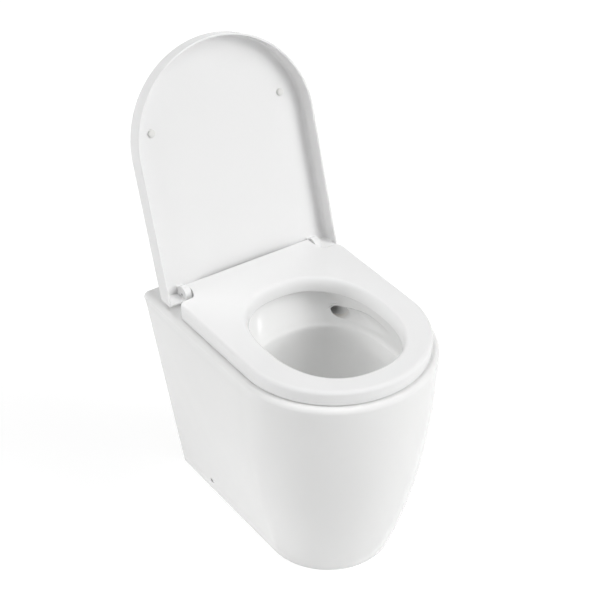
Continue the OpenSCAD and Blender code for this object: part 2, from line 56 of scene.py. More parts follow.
# Distance from the wall of the place from which directions round the bowl are counted
BOWL_MIDDLE = 290.0
Point = tuple[float, float, float]
Plan = tuple[float, float]
Mesh, Object = bmesh.types.BMesh, bpy.types.Object
Vert, Socket = bmesh.types.BMVert, bpy.types.NodeSocket


# ---------------------------------------------------------------- mesh helpers

def sub_steps(start: float, end: float, count: int) -> list[float]:
    """Return count + 1 evenly spaced values from start to end."""
    return [start + (end - start) * i / count for i in range(count + 1)]


def sin_cos(degrees: float) -> Plan:
    """Return the sine and the cosine of an angle in degrees."""
    return math.sin(math.radians(degrees)), math.cos(math.radians(degrees))


def smooth_step(low: float, high: float, value: float) -> float:
    """Return 0 below low, 1 above high and a smooth ramp between them."""
    t = min(max((value - low) / (high - low), 0.0), 1.0)
    return t * t * (3 - 2 * t)


def between(a: Sequence[Point], b: Sequence[Point], share: float) -> list[Point]:
    """Return the ring that lies that share of the way from ring a to ring b."""
    return [tuple(p + (q - p) * share for p, q in zip(i, j)) for i, j in zip(a, b)]


def mirrored(right: Sequence[Point]) -> list[Point]:
    """Return the ring that a right half makes with its mirror image."""
    return [*right, *((-x, y, z) for x, y, z in reversed(right[1:-1]))]


def bearing(x: float, y: float) -> float:
    """Return the direction of a place from the middle of the bowl."""
    return math.atan2(y + BOWL_MIDDLE, x)


def oval_point(angle: float, half: float, rear: float, front: float, z: float,
               power: float) -> Point:
    """Work out one place on an oval.

    Args:
        angle: The place's direction, as the oval's own parameter, which spreads places evenly.
        half: Half the oval's width.
        rear: Distance of its rear end from the wall.
        front: Distance of its front end from the wall.
        z: Height.
        power: 2 for an ellipse, more for a fuller oval.

    Returns:
        The place.
    """
    centre, length = -(rear + front) / 2, (front - rear) / 2
    c, s = math.cos(angle), math.sin(angle)
    reach = (abs(c / half) ** power + abs(s / length) ** power) ** (-1 / power)
    return reach * c, centre + reach * s, z


def blend_rows(rows: Sequence[Sequence[float]], key: float) -> list[float]:
    """Read a table of rows, sorted by their first value, with a smooth curve.

    Args:
        rows: Rows whose first value is the key.
        key: Where to read.

    Returns:
        The row's other values at that key.
    """
    last = len(rows) - 1
    i = max(0, min(last - 1, sum(1 for row in rows if row[0] <= key) - 1))
    span = rows[i + 1][0] - rows[i][0]
    t = min(max((key - rows[i][0]) / span, 0.0), 1.0)
    out = []
    for k in range(1, len(rows[0])):
        a, b = rows[i][k], rows[i + 1][k]
        before = rows[max(i - 1, 0)]
        after = rows[min(i + 2, last)]
        slope_a = (b - before[k]) / (rows[i + 1][0] - before[0]) * span
        slope_b = (after[k] - a) / (after[0] - rows[i][0]) * span
        out.append((2 * t**3 - 3 * t**2 + 1) * a + (t**3 - 2 * t**2 + t) * slope_a
                   + (3 * t**2 - 2 * t**3) * b + (t**3 - t**2) * slope_b)
    return out


def add_object(name: str, mesh: Mesh, sharp: float = SHARP) -> Object:
    """Turn a bmesh into an object at the origin.

    Args:
        name: The object's name.
        mesh: The bmesh, which is freed.
        sharp: Angle in degrees above which an edge stays sharp.

    Returns:
        The new object.
    """
    data = bpy.data.meshes.new(name)
    mesh.to_mesh(data)
    mesh.free()
    data.shade_smooth()
    data.set_sharp_from_angle(angle=math.radians(sharp))
    made = bpy.data.objects.new(name, data)
    bpy.context.scene.collection.objects.link(made)
    return made


class Loft:
    """Skin that grows ring by ring by extruding the edges of one circle."""

    def __init__(self, count: int, mark: str | None = None) -> None:
        """Start an empty skin.

        Args:
            count: How many points each ring holds.
            mark: Name of a vertex attribute to keep, if any.
        """
        self.count = count
        self.mesh = bmesh.new()
        self.mark = self.mesh.verts.layers.float.new(mark) if mark else None
        self.rings: list[list[Vert]] = []
        self.edges: list[bmesh.types.BMEdge] = []

    def grow(self, points: Sequence[Point]) -> None:
        """Add one ring.

        Args:
            points: The ring's places in millimetres, one for each of its points.
        """
        if not self.rings:
            made = bmesh.ops.create_circle(self.mesh, cap_ends=False, radius=1,
                                           segments=self.count)
            ring = self._in_order(made["verts"])
            self.edges = list(self.mesh.edges)
        else:
            made = bmesh.ops.extrude_edge_only(self.mesh, edges=self.edges)
            new = {g for g in made["geom"] if isinstance(g, Vert)}
            ring = [next(e.other_vert(v) for e in v.link_edges if e.other_vert(v) in new)
                    for v in self.rings[-1]]
            self.edges = [g for g in made["geom"] if isinstance(g, bmesh.types.BMEdge)
                          and g.verts[0] in new and g.verts[1] in new]
        for vert, place in zip(ring, points):
            vert.co = Vector(place) * MM
        self.rings.append(ring)

    @staticmethod
    def _in_order(verts: Sequence[Vert]) -> list[Vert]:
        """Sort a closed loop's vertices into the order in which its edges join them.

        Args:
            verts: The loop's vertices.

        Returns:
            The same vertices, in order.
        """
        ring = [verts[0]]
        while len(ring) < len(verts):
            ring.append(next(e.other_vert(ring[-1]) for e in ring[-1].link_edges
                             if e.other_vert(ring[-1]) not in ring[-2:]))
        return ring

    def weld_ends(self) -> None:
        """Join the last ring to the first, which lies at the same place."""
        bmesh.ops.remove_doubles(self.mesh, verts=self.rings[0] + self.rings[-1], dist=1e-7)
        bmesh.ops.recalc_face_normals(self.mesh, faces=self.mesh.faces)

    def solid(self, name: str, sharp: float = SHARP, turn: Matrix | None = None) -> Object:
        """Close both ends with flat faces and turn the skin into an object.

        Args:
            name: The object's name.
            sharp: Angle in degrees above which an edge stays sharp.
            turn: A matrix in metres, applied at the end.

        Returns:
            The new object.
        """
        for ring in (self.rings[0], self.rings[-1]):
            bmesh.ops.contextual_create(self.mesh, geom=list(ring))
        bmesh.ops.recalc_face_normals(self.mesh, faces=self.mesh.faces)
        if turn is not None:
            bmesh.ops.transform(self.mesh, matrix=turn, verts=self.mesh.verts)
        return add_object(name, self.mesh, sharp)


def even_normals(piece: Object) -> None:
    """Let large flat faces set the shading of the roundings beside them.

    Args:
        piece: The piece to shade.
    """
    modifier = piece.modifiers.new("even shading", "WEIGHTED_NORMAL")
    modifier.keep_sharp = True
    modifier.weight = 80


def cut(piece: Object, cutters: Iterable[Object], join: bool = False,
        sharp: float = SHARP) -> None:
    """Cut solids out of a piece, or join them to it, and remove them.

    Args:
        piece: The piece to change.
        cutters: The solids.
        join: True to join them.
        sharp: Angle in degrees above which an edge stays sharp afterwards.
    """
    for cutter in cutters:
        modifier = piece.modifiers.new("cut", "BOOLEAN")
        modifier.operation = "UNION" if join else "DIFFERENCE"
        modifier.solver = "EXACT"
        modifier.object = cutter
        graph = bpy.context.evaluated_depsgraph_get()
        data = bpy.data.meshes.new_from_object(piece.evaluated_get(graph))
        piece.modifiers.clear()
        old, piece.data = piece.data, data
        bpy.data.meshes.remove(old)
        bpy.data.objects.remove(cutter)
    piece.data.shade_smooth()
    piece.data.set_sharp_from_angle(angle=math.radians(sharp))


def gathered(name: str, parts: Iterable[Object]) -> Object:
    """Put separate parts into one object.

    Args:
        name: The object's name.
        parts: The parts, which are removed.

    Returns:
        The new object.
    """
    mesh = bmesh.new()
    for part in parts:
        mesh.from_mesh(part.data)
        bpy.data.objects.remove(part)
    return add_object(name, mesh)


def rod(name: str, radius: float, start: Point, end: Point, segments: int = 48) -> Object:
    """Make a straight round bar.

    Args:
        name: The object's name.
        radius: The bar's radius.
        start: The middle of one end.
        end: The middle of the other end.
        segments: How many flats make it round.

    Returns:
        The new object.
    """
    mesh = bmesh.new()
    a, b = Vector(start) * MM, Vector(end) * MM
    turn = (b - a).to_track_quat("Z", "Y").to_matrix().to_4x4()
    bmesh.ops.create_cone(
        mesh, cap_ends=True, segments=segments, radius1=radius * MM, radius2=radius * MM,
        depth=(b - a).length, matrix=Matrix.Translation((a + b) / 2) @ turn)
    return add_object(name, mesh)


def block(name: str, low: Point, high: Point, turn: Matrix | None = None) -> Object:
    """Make a box, which only ever cuts.

    Args:
        name: The object's name.
        low: Its lowest corner.
        high: Its highest corner.
        turn: A matrix in metres, applied at the end.

    Returns:
        The new object.
    """
    mesh = bmesh.new()
    a, b = Vector(low) * MM, Vector(high) * MM
    place = Matrix.Translation((a + b) / 2) @ Matrix.Diagonal((*(b - a), 1.0))
    bmesh.ops.create_cube(mesh, size=1.0, matrix=(turn or Matrix.Identity(4)) @ place)
    return add_object(name, mesh)


def extruded(name: str, profile: Sequence[Plan], x0: float, x1: float,
             rounding: float = 0.0) -> Object:
    """Extrude a profile of (y, z) places along X.

    Args:
        name: The object's name.
        profile: Closed outline as (y, z) places in millimetres, y counted to the wall.
        x0: One end.
        x1: The other end.
        rounding: Radius of the rounding round both ends.

    Returns:
        The new object.
    """
    mesh = bmesh.new()
    face = mesh.faces.new([mesh.verts.new((x0 * MM, y * MM, z * MM)) for y, z in profile])
    made = bmesh.ops.extrude_face_region(mesh, geom=[face])
    far = [g for g in made["geom"] if isinstance(g, Vert)]
    bmesh.ops.translate(mesh, verts=far, vec=((x1 - x0) * MM, 0, 0))
    bmesh.ops.recalc_face_normals(mesh, faces=mesh.faces)
    if rounding > 0:
        rims = [e for e in mesh.edges if abs(e.verts[0].co.x - e.verts[1].co.x) < 1e-9]
        bmesh.ops.bevel(mesh, geom=rims, offset=rounding * MM, offset_type="OFFSET",
                        segments=3, profile=0.5, affect="EDGES", material=-1,
                        clamp_overlap=True)
    return add_object(name, mesh)


def spun(name: str, profile: Sequence[Plan], centre: Point, turn: Matrix | None = None,
         steps: int = 48) -> Object:
    """Spin a profile of (radius, height) places round a vertical axis.

    Args:
        name: The object's name.
        profile: The profile's places.
        centre: A place on the axis, at height 0 of the profile.
        turn: A matrix in metres, applied at the end.
        steps: How many flats make it round.

    Returns:
        The new object.
    """
    mesh = bmesh.new()
    verts = [mesh.verts.new((r * MM, 0, h * MM)) for r, h in profile]
    edges = [mesh.edges.new(pair) for pair in zip(verts, verts[1:])]
    bmesh.ops.spin(mesh, geom=verts + edges, cent=(0, 0, 0), axis=(0, 0, 1),
                   angle=2 * math.pi, steps=steps, use_merge=True)
    bmesh.ops.remove_doubles(mesh, verts=mesh.verts, dist=1e-7)
    bmesh.ops.recalc_face_normals(mesh, faces=mesh.faces)
    place = (turn or Matrix.Identity(4)) @ Matrix.Translation(Vector(centre) * MM)
    bmesh.ops.transform(mesh, verts=mesh.verts, matrix=place)
    return add_object(name, mesh)


# ---------------------------------------------------------------- shader groups

class GroupName(Enum):
    """Shader groups that more than one finish uses."""

    DRIFT = "Slow drift"
    RIPPLE = "Skin ripple"
    TINT = "Two tone tint"
    GRAIN = "Drawn grain"


class Wiring:
    """Places and joins the nodes of one tree."""

    def __init__(self, tree: bpy.types.NodeTree) -> None:
        """Take a tree, whose nodes stay."""
        self.tree, self.link = tree, tree.links.new

    def node(self, kind: str, feeds: dict[str | int, object] | None = None,
             **settings: object) -> bpy.types.Node:
        """Place a node.

        Args:
            kind: The node's type, without the leading ShaderNode.
            feeds: A socket to link or a plain value for each input.
            settings: The node's own settings.

        Returns:
            The new node.
        """
        made = self.tree.nodes.new("ShaderNode" + kind)
        for label, value in settings.items():
            setattr(made, label, value)
        for label, value in (feeds or {}).items():
            if isinstance(value, Socket):
                self.link(value, made.inputs[label])
            else:
                made.inputs[label].default_value = value
        return made

    def maths(self, operation: str, *feeds: object) -> Socket:
        """Return the result of a calculation on sockets and numbers."""
        return self.node("Math", dict(enumerate(feeds)), operation=operation).outputs["Value"]

    def noise(self, **feeds: object) -> Socket:
        """Return a noise that is fixed to the object."""
        place = self.node("TexCoord").outputs["Object"]
        return self.node("TexNoise", {"Vector": place, **feeds}).outputs["Fac"]

    def span(self, value: Socket, **limits: object) -> Socket:
        """Return a value brought from one range to another."""
        feeds = {label.replace("_", " "): limit for label, limit in limits.items()}
        return self.node("MapRange", {"Value": value, **feeds}).outputs["Result"]

    def mixed(self, share: Socket, first: object, second: object, color: bool) -> Socket:
        """Mix two colours or two values.

        Args:
            share: How much of the second shows.
            first: The first, as a socket or a plain value.
            second: The second.
            color: True for colours.

        Returns:
            The mix.
        """
        one, two, out = (6, 7, 2) if color else (2, 3, 0)
        return self.node("Mix", {0: share, one: first, two: second},
                         data_type="RGBA" if color else "FLOAT").outputs[out]

    def group(self, name: GroupName, **values: object) -> bpy.types.NodeOutputs:
        """Place a shared group.

        Args:
            name: Which group.
            values: Its inputs, with a line in place of each blank.

        Returns:
            Its outputs.
        """
        feeds = {label.replace("_", " "): value for label, value in values.items()}
        node_tree = bpy.data.node_groups[name.value]
        made = self.node("Group", node_tree=node_tree)
        for label, value in feeds.items():
            made.inputs[label].default_value = value
        return made.outputs


@dataclass(frozen=True)
class ShaderGroups:
    """Node groups that put out only values, heights and colours."""

    @staticmethod
    def _start(name: GroupName, inputs: dict[str, object], outputs: Sequence[str],
               ) -> tuple[Wiring, bpy.types.NodeOutputs, bpy.types.NodeInputs]:
        """Make an empty group with named sockets.

        Args:
            name: The group's name.
            inputs: Default by socket name: a number, or four for a colour.
            outputs: Socket names, of which Color is a colour.

        Returns:
            The group's wiring, what it takes in and what it gives out.
        """
        tree = bpy.data.node_groups.new(name.value, "ShaderNodeTree")
        for label, value in inputs.items():
            kind = "NodeSocketColor" if isinstance(value, tuple) else "NodeSocketFloat"
            tree.interface.new_socket(name=label, in_out="INPUT",
                                      socket_type=kind).default_value = value
        for label in outputs:
            kind = "NodeSocketColor" if label == "Color" else "NodeSocketFloat"
            tree.interface.new_socket(name=label, in_out="OUTPUT", socket_type=kind)
        return (Wiring(tree), tree.nodes.new("NodeGroupInput").outputs,
                tree.nodes.new("NodeGroupOutput").inputs)

    def drift(self) -> None:
        """Build the group whose value wanders slowly between two limits."""
        wires, feed, out = self._start(
            GroupName.DRIFT, {"Scale": 20.0, "Low": 0.1, "High": 0.2}, ["Value"])
        noise = wires.noise(Scale=feed["Scale"], Detail=3.0)
        wires.link(wires.span(noise, From_Min=0.3, From_Max=0.7, To_Min=feed["Low"],
                              To_Max=feed["High"]), out["Value"])

    def ripple(self) -> None:
        """Build the group for the faint waviness of a fired or moulded skin."""
        wires, feed, out = self._start(
            GroupName.RIPPLE, {"Wave Scale": 30.0, "Pore Scale": 900.0, "Pores": 0.1}, ["Height"])
        wave = wires.noise(Scale=feed["Wave Scale"], Detail=1.0)
        pore = wires.noise(Scale=feed["Pore Scale"], Detail=2.0)
        wires.link(wires.maths("ADD", wave, wires.maths("MULTIPLY", pore, feed["Pores"])),
                   out["Height"])

    def tint(self) -> None:
        """Build the group that mottles one colour with a second."""
        wires, feed, out = self._start(
            GroupName.TINT, {"Base": (0.9, 0.9, 0.9, 1), "Second": (0.8, 0.8, 0.8, 1),
                             "Scale": 12.0, "Amount": 0.5}, ["Color"])
        share = wires.maths("MULTIPLY", wires.noise(Scale=feed["Scale"], Detail=4.0),
                            feed["Amount"])
        wires.link(wires.mixed(share, feed["Base"], feed["Second"], True), out["Color"])

    def grain(self) -> None:
        """Build the group for drawn or brushed metal: long marks along X."""
        wires, feed, out = self._start(
            GroupName.GRAIN, {"Scale": 700.0, "Stretch": 0.05, "Low": 0.2, "High": 0.4},
            ["Roughness", "Height"])
        place = wires.node("TexCoord").outputs["Object"]
        squeeze = wires.node("CombineXYZ", {"X": feed["Stretch"], "Y": 1.0, "Z": 1.0})
        warped = wires.node("VectorMath", {0: place, 1: squeeze.outputs["Vector"]},
                            operation="MULTIPLY")
        noise = wires.node("TexNoise", {"Vector": warped.outputs["Vector"],
                                        "Scale": feed["Scale"]}).outputs["Fac"]
        wires.link(wires.span(noise, To_Min=feed["Low"], To_Max=feed["High"]), out["Roughness"])
        wires.link(noise, out["Height"])

    def build(self) -> None:
        """Build every group once."""
        for make in (self.drift, self.ripple, self.tint, self.grain):
            make()


@dataclass(frozen=True)
class Finish:
    """One finish: a Principled surface fed by the shared groups."""

    name: str
    base: tuple[float, float, float]
    second: tuple[float, float, float]
    tint_scale: float = 12.0
    tint_amount: float = 0.6
    rough: tuple[float, float] = (0.1, 0.2)
    rough_scale: float = 20.0
    wave_scale: float = 30.0
    pore_scale: float = 900.0
    pores: float = 0.1
    bump: float = 0.1
    bump_depth: float = 0.0002
    metallic: float = 0.0
    specular: float = 0.5
    coat: float = 0.0
    ior: float = 1.5
    grained: bool = False
    bare: tuple[float, float, float] | None = None

    def build(self) -> bpy.types.Material:
        """Make the material.

        Returns:
            The new material.
        """
        material = bpy.data.materials.new(self.name)
        material.use_nodes = True
        wires = Wiring(material.node_tree)
        shader = material.node_tree.nodes["Principled BSDF"].inputs
        for label, value in (("Metallic", self.metallic), ("IOR", self.ior),
                             ("Specular IOR Level", self.specular), ("Coat Weight", self.coat),
                             ("Coat Roughness", 0.03)):
            shader[label].default_value = value
        color = wires.group(GroupName.TINT, Scale=self.tint_scale, Amount=self.tint_amount,
                            Base=(*self.base, 1), Second=(*self.second, 1))["Color"]
        low, high = self.rough
        if self.grained:
            grain = wires.group(GroupName.GRAIN, Low=low, High=high)
            rough, height = grain["Roughness"], grain["Height"]
        else:
            rough = wires.group(GroupName.DRIFT, Scale=self.rough_scale, Low=low,
                                High=high)["Value"]
            height = wires.group(GroupName.RIPPLE, Wave_Scale=self.wave_scale,
                                 Pore_Scale=self.pore_scale, Pores=self.pores)["Height"]
        if self.bare is not None:
            # Unglazed clay, where the mesh's attribute says so
            mask = wires.node("Attribute", attribute_name="bare").outputs["Fac"]
            rough = wires.mixed(mask, rough, 0.75, False)
            color = wires.mixed(mask, color, (*self.bare, 1), True)
        bump = wires.node("Bump", {"Strength": self.bump, "Distance": self.bump_depth,
                                   "Height": height})
        wires.link(color, shader["Base Color"])
        wires.link(rough, shader["Roughness"])
        wires.link(bump.outputs["Normal"], shader["Normal"])
        return material


FINISHES = {
    "vitreous_china": Finish(
        "Glazed china", (0.9, 0.9, 0.895), (0.875, 0.878, 0.872), 9.0, 0.7, (0.05, 0.1), 14.0,
        22.0, 700.0, 0.04, 0.25, 0.0006, ior=1.55, coat=0.3, bare=(0.78, 0.74, 0.68)),
    "seat_plastic": Finish(
        "Gloss seat plastic", (0.9, 0.9, 0.9), (0.885, 0.886, 0.885), 15.0, 0.6, (0.1, 0.17), 25.0,
        40.0, 1500.0, 0.12, 0.15, 0.0002, ior=1.5),
    "lid_plastic": Finish(
        "Gloss lid plastic", (0.9, 0.9, 0.9), (0.885, 0.886, 0.885), 11.0, 0.6, (0.12, 0.2), 20.0,
        30.0, 1500.0, 0.12, 0.15, 0.0002, ior=1.5),
    "block_plastic": Finish(
        "Hinge block plastic", (0.86, 0.86, 0.86), (0.82, 0.82, 0.82), 40.0, 0.5, (0.2, 0.3), 60.0,
        120.0, 2500.0, 0.3, 0.2, 0.0001),
    "button_plastic": Finish(
        "Push button plastic", (0.68, 0.69, 0.7), (0.62, 0.63, 0.64), 60.0, 0.5, (0.3, 0.4), 80.0,
        150.0, 3000.0, 0.4, 0.2, 0.0001),
    "bumper_rubber": Finish(
        "Bumper rubber", (0.82, 0.82, 0.8), (0.74, 0.74, 0.72), 90.0, 0.5, (0.45, 0.6), 70.0,
        200.0, 2500.0, 0.5, 0.3, 0.0001, specular=0.35),
    "damper_plastic": Finish(
        "Damper housing plastic", (0.08, 0.08, 0.085), (0.12, 0.12, 0.125), 80.0, 0.6, (0.4, 0.55),
        60.0, 150.0, 2500.0, 0.4, 0.25, 0.0001),
    "sleeve_plastic": Finish(
        "Sleeve plastic", (0.84, 0.84, 0.82), (0.8, 0.8, 0.78), 60.0, 0.5, (0.35, 0.5), 60.0,
        120.0, 2500.0, 0.4, 0.2, 0.0001),
    "zinc_steel": Finish(
        "Zinc plated steel", (0.62, 0.64, 0.66), (0.48, 0.5, 0.52), 45.0, 0.8, (0.25, 0.42), 50.0,
        60.0, 900.0, 0.3, 0.25, 0.0001, metallic=1.0),
    "steel": Finish(
        "Drawn stainless steel", (0.7, 0.7, 0.71), (0.62, 0.62, 0.63), 60.0, 0.5, (0.2, 0.35), 50.0,
        bump=0.2, bump_depth=0.00005, metallic=1.0, grained=True),
    "black_rubber": Finish(
        "Black sealing rubber", (0.025, 0.025, 0.026), (0.05, 0.05, 0.05), 50.0, 0.7, (0.5, 0.7),
        60.0, 150.0, 2500.0, 0.5, 0.3, 0.0001, specular=0.3),
}


class FinishShelf:
    """Every material, by the record's slot name."""

    def __init__(self) -> None:
        """Build the shared groups and then each material."""
        ShaderGroups().build()
        self.made = {slot: finish.build() for slot, finish in FINISHES.items()}

    def dress(self, piece: bpy.types.Object, slot: str) -> None:
        """Give a new piece its material."""
        piece.data.materials.clear()
        piece.data.materials.append(self.made[slot])

    def dress_node(self, node: bpy.types.Object, slot: str) -> None:
        """Give a CAD node's object its material."""
        for place in node.material_slots:
            place.material = self.made[slot]


# ---------------------------------------------------------------- the pan

@dataclass
class Pan:
    """Ceramic pan: D-shaped shell, flat deck, rimless bowl, trap and outlet."""

    width: float = 360.0
    depth: float = 490.0
    height: float = 405.0
    foot_width: float = 226.0
    foot_depth: float = 417.0
    wall: float = 9.0
    deck: float = 22.0
    rim_round: float = 9.0
    rear_round: float = 1.5
    corner_round: float = 3.0
    inner_corner: float = 2.5
    mouth_round: float = 6.0
    foot_round: float = 1.2
    nose_width_power: float = 1.7
    nose_depth_power: float = 2.3
    flange: float = 12.0
    flange_points: int = 7
    corner_points: int = 4
    side_points: int = 75
    nose_points: int = 40
    bowl_power: float = 2.4
    trap_radius: float = 36.0
    trap_wall: float = 9.0
    dip_height: float = 58.0
    rise: float = 70.0
    sump: float = 236.0
    sump_depth: float = 259.0
    outlet_height: float = 180.0
    outlet_radius: float = 51.0
    outlet_end: float = 12.0
    inlet_height: float = 335.0
    inlet_radius: float = 27.5
    inlet_end: float = 15.0
    # Distance from the wall and height of the tube that crosses to the port
    cross: tuple[float, float] = (112.0, 361.0)
    port: tuple[float, float, float] = (98.0, 197.5, 369.4)
    port_half: tuple[float, float] = (12.4, 9.2)
    boss_spread: float = 26.0
    # Distance from the wall, middle height, half height and depth of the jet's groove
    groove: list[tuple[float, float, float, float]] = field(default_factory=lambda: [
        (192, 369.5, 8.6, 0), (207, 370, 9.4, 6.2), (225, 370.8, 10.3, 8.0), (244, 371, 11.6, 6.6),
        (262, 371.3, 10.8, 4.4), (285, 371.8, 8.2, 1.8), (308, 372, 5, 0.1), (320, 372, 4, 0)])
    side_hole: tuple[float, float, float] = (109.0, 29.0, 5.0)
    fix_pitch: float = 155.0
    axis: float = 65.0
    # Depth below the rim, half width, rear end and front end of the bowl's rings
    rows: list[tuple[float, float, float, float]] = field(default_factory=lambda: [
        (6, 125, 138, 448), (20, 124.4, 146, 447.6), (36, 123, 158, 447), (46, 121.8, 167, 446.4),
        (51, 120.6, 171.5, 445.6), (53.5, 119, 174, 444), (56, 116, 176.5, 441),
        (62, 112.5, 178.5, 437), (74, 107.5, 180, 430), (94, 101, 182, 418),
        (144, 80, 194, 374), (189, 59, 199, 330), (226, 45, 198, 298), (245, 40.5, 197, 286),
        (259, 38, 198.5, 277)])

    def share(self, z: float) -> float:
        """Return height z as a share of the pan's height."""
        return min(max(z / self.height, 0.0), 1.0)

    def nose_start(self, z: float) -> float:
        """Return where the nose begins at height z."""
        return self.depth - self.width / 2 - 5 * (1 - self.share(z))

    def side(self, z: float, y: float) -> float:
        """Return the pan's half width at height z and distance y from the wall.

        Args:
            z: Height.
            y: Distance from the wall.

        Returns:
            Half the width.
        """
        s = self.share(z)
        spread = (self.width - self.foot_width) / 2
        rear = self.foot_width / 2 + spread * s
        nose = self.width / 2 - spread * (1 - s) ** self.nose_width_power
        t = min(max(y / self.nose_start(z), 0.0), 1.0)
        return rear + (nose - rear) * (1 - (1 - t) ** 2)

    def half_outline(self, z: float, inset: float, rear: float, corner: float) -> list[Plan]:
        """Work out the outline's right half at height z.

        Args:
            z: Height.
            inset: How far the sides and the nose are drawn in.
            rear: Distance of the rear face from the wall.
            corner: Rounding of the rear corner.

        Returns:
            Places as (x, distance from the wall), from the middle of the rear to the nose's tip.
        """
        half = self.side(z, 0) - inset
        edge = self.side(z, 0) - self.flange
        out = [(x, rear) for x in sub_steps(0, edge, self.flange_points)]
        out += [(x, rear) for x in sub_steps(edge, half - corner, 2)[1:]]
        for a in sub_steps(0, math.pi / 2, self.corner_points)[1:]:
            out.append((half - corner * (1 - math.sin(a)), rear + corner * (1 - math.cos(a))))
        start, first = self.nose_start(z), rear + corner
        for y in sub_steps(first, start, self.side_points)[1:]:
            out.append((self.side(z, y) - inset, y))
        length = (self.depth - (self.depth - self.foot_depth)
                  * (1 - self.share(z)) ** self.nose_depth_power - start)
        for a in sub_steps(0, math.pi / 2, self.nose_points)[1:]:
            out.append(((self.side(z, start) - inset) * math.cos(a),
                        start + (length - inset) * math.sin(a)))
        return out

    def outline(self, z: float, inset: float = 0.0, rear: float = 0.0,
                corner: float | None = None, at: float | None = None) -> list[Point]:
        """Work out the whole outline as a ring.

        Args:
            z: Height of the outline.
            inset: How far the sides and the nose are drawn in.
            rear: Distance of the rear face from the wall.
            corner: Rounding of the rear corners, where it isn't the usual one.
            at: Height of the ring, where it isn't z.

        Returns:
            The ring's places, from the middle of the rear.
        """
        half = self.half_outline(z, inset, rear, self.corner_round if corner is None else corner)
        return mirrored([(x, -y, z if at is None else at) for x, y in half])

    def angles(self) -> list[float]:
        """Return each ring point's direction from the middle of the bowl."""
        return [bearing(x, y) for x, y, _ in self.outline(self.height, self.rim_round)]

    def oval(self, half: float, rear: float, front: float, z: float) -> list[Point]:
        """Return the ring where an oval meets each of the ring points' directions."""
        return [oval_point(a, half, rear, front, z, self.bowl_power) for a in self.angles()]

    def bowl_ring(self, depth: float, out: float = 0.0, down: float = 0.0) -> list[Point]:
        """Return a ring of the bowl, moved outwards and down."""
        half, rear, front = blend_rows(self.rows, depth)
        return self.oval(half + out, rear - out, front + out, self.height - depth - down)

    def trap_stops(self) -> list[tuple[float, float, float]]:
        """Work out the trap's path, from the sump to the outlet.

        Returns:
            Places and headings along the path, as (y, z, degrees).
        """
        bend = self.trap_radius + self.trap_wall + 3
        sine, cosine = sin_cos(self.rise)
        low_y, low_z = bend - self.sump, self.dip_height + bend
        end_y, end_z = low_y + bend * sine, low_z - bend * cosine
        top_z = self.outlet_height - bend + bend * cosine
        top_y = end_y + (top_z - end_z) / math.tan(math.radians(self.rise))
        high_y, high_z = top_y + bend * sine, self.outlet_height - bend
        stops = [(-self.sump, z, -90.0) for z in sub_steps(self.height - self.sump_depth + 2,
                                                           low_z + 6, 3)]
        for heading in sub_steps(-90, self.rise, 14):
            s, c = sin_cos(heading)
            stops.append((low_y + bend * s, low_z - bend * c, heading))
        for heading in sub_steps(self.rise, 0, 7):
            s, c = sin_cos(heading)
            stops.append((high_y - bend * s, high_z + bend * c, heading))
        return stops

    def tube_ring(self, y: float, z: float, heading: float, radius: float) -> list[Point]:
        """Return a round ring across a passage that heads that way at that place."""
        s, c = sin_cos(heading)
        return [(radius * math.cos(a), y - radius * math.sin(a) * s, z + radius * math.sin(a) * c)
                for a in self.angles()]

    def drawn_in(self, z: float, radius: float) -> float:
        """Return how far a face is drawn in at height z by its top edge's rounding."""
        over = max(z - (self.height - radius), 0.0)
        return radius - math.sqrt(max(radius**2 - over**2, 0.0))

    def casting(self) -> Object:
        """Build the casting as one closed skin.

        Returns:
            The casting's object.
        """
        loft = Loft(2 * (self.flange_points + 2 + self.corner_points + self.side_points
                         + self.nose_points), "bare")
        under = self.height - self.deck
        foot = [(0.0, 1.0), (0.35, 0.3), (self.foot_round, 0.0)]
        levels = sub_steps(self.foot_round, under, 34)
        marks = {}
        for z, inset in foot:
            loft.grow(self.outline(z, inset, inset))
        for z in levels[1:]:
            loft.grow(self.outline(z))
        marks["shell_top"] = len(loft.rings) - 1
        for a in sub_steps(0, 90, 12):
            z = self.height - self.rim_round * (1 - sin_cos(a)[0])
            loft.grow(self.outline(self.height, self.drawn_in(z, self.rim_round),
                                   self.drawn_in(z, self.rear_round), at=z))
        self._deck_and_mouth(loft)
        self._bowl_and_trap(loft)
        inner = self.outline(under, self.wall, self.wall, self.inner_corner)
        outer = self.bowl_ring(self.deck, self.wall)
        for share in (0.35, 0.7):
            loft.grow(between(outer, inner, share))
        marks["inner_top"] = len(loft.rings)
        inside = [(z, 0.0) for z in reversed(levels)] + foot[-2::-1]
        for z, inset in inside:
            loft.grow(self.outline(z, self.wall - inset, self.wall - inset, self.inner_corner))
        marks["inner_end"] = len(loft.rings) - 1
        loft.grow(self.outline(0.0, 1.0, 1.0))
        self._mark_bare(loft, marks)
        self._open_rear(loft, marks)
        loft.weld_ends()
        piece = add_object("pan_casting", loft.mesh, SHARP_MOULDING)
        y, z, r = self.side_hole
        x = self.side(z, y)
        holes = [rod("hole", r, (s * (x - 25), -y, z), (s * (x + 10), -y, z)) for s in (1, -1)]
        port = self._port_bar("port", [(-self.port[1] + ahead, 0, 0)
                                       for ahead in (60, 8, -12, -22)])
        cut(piece, holes + [port], sharp=SHARP_MOULDING)
        return piece

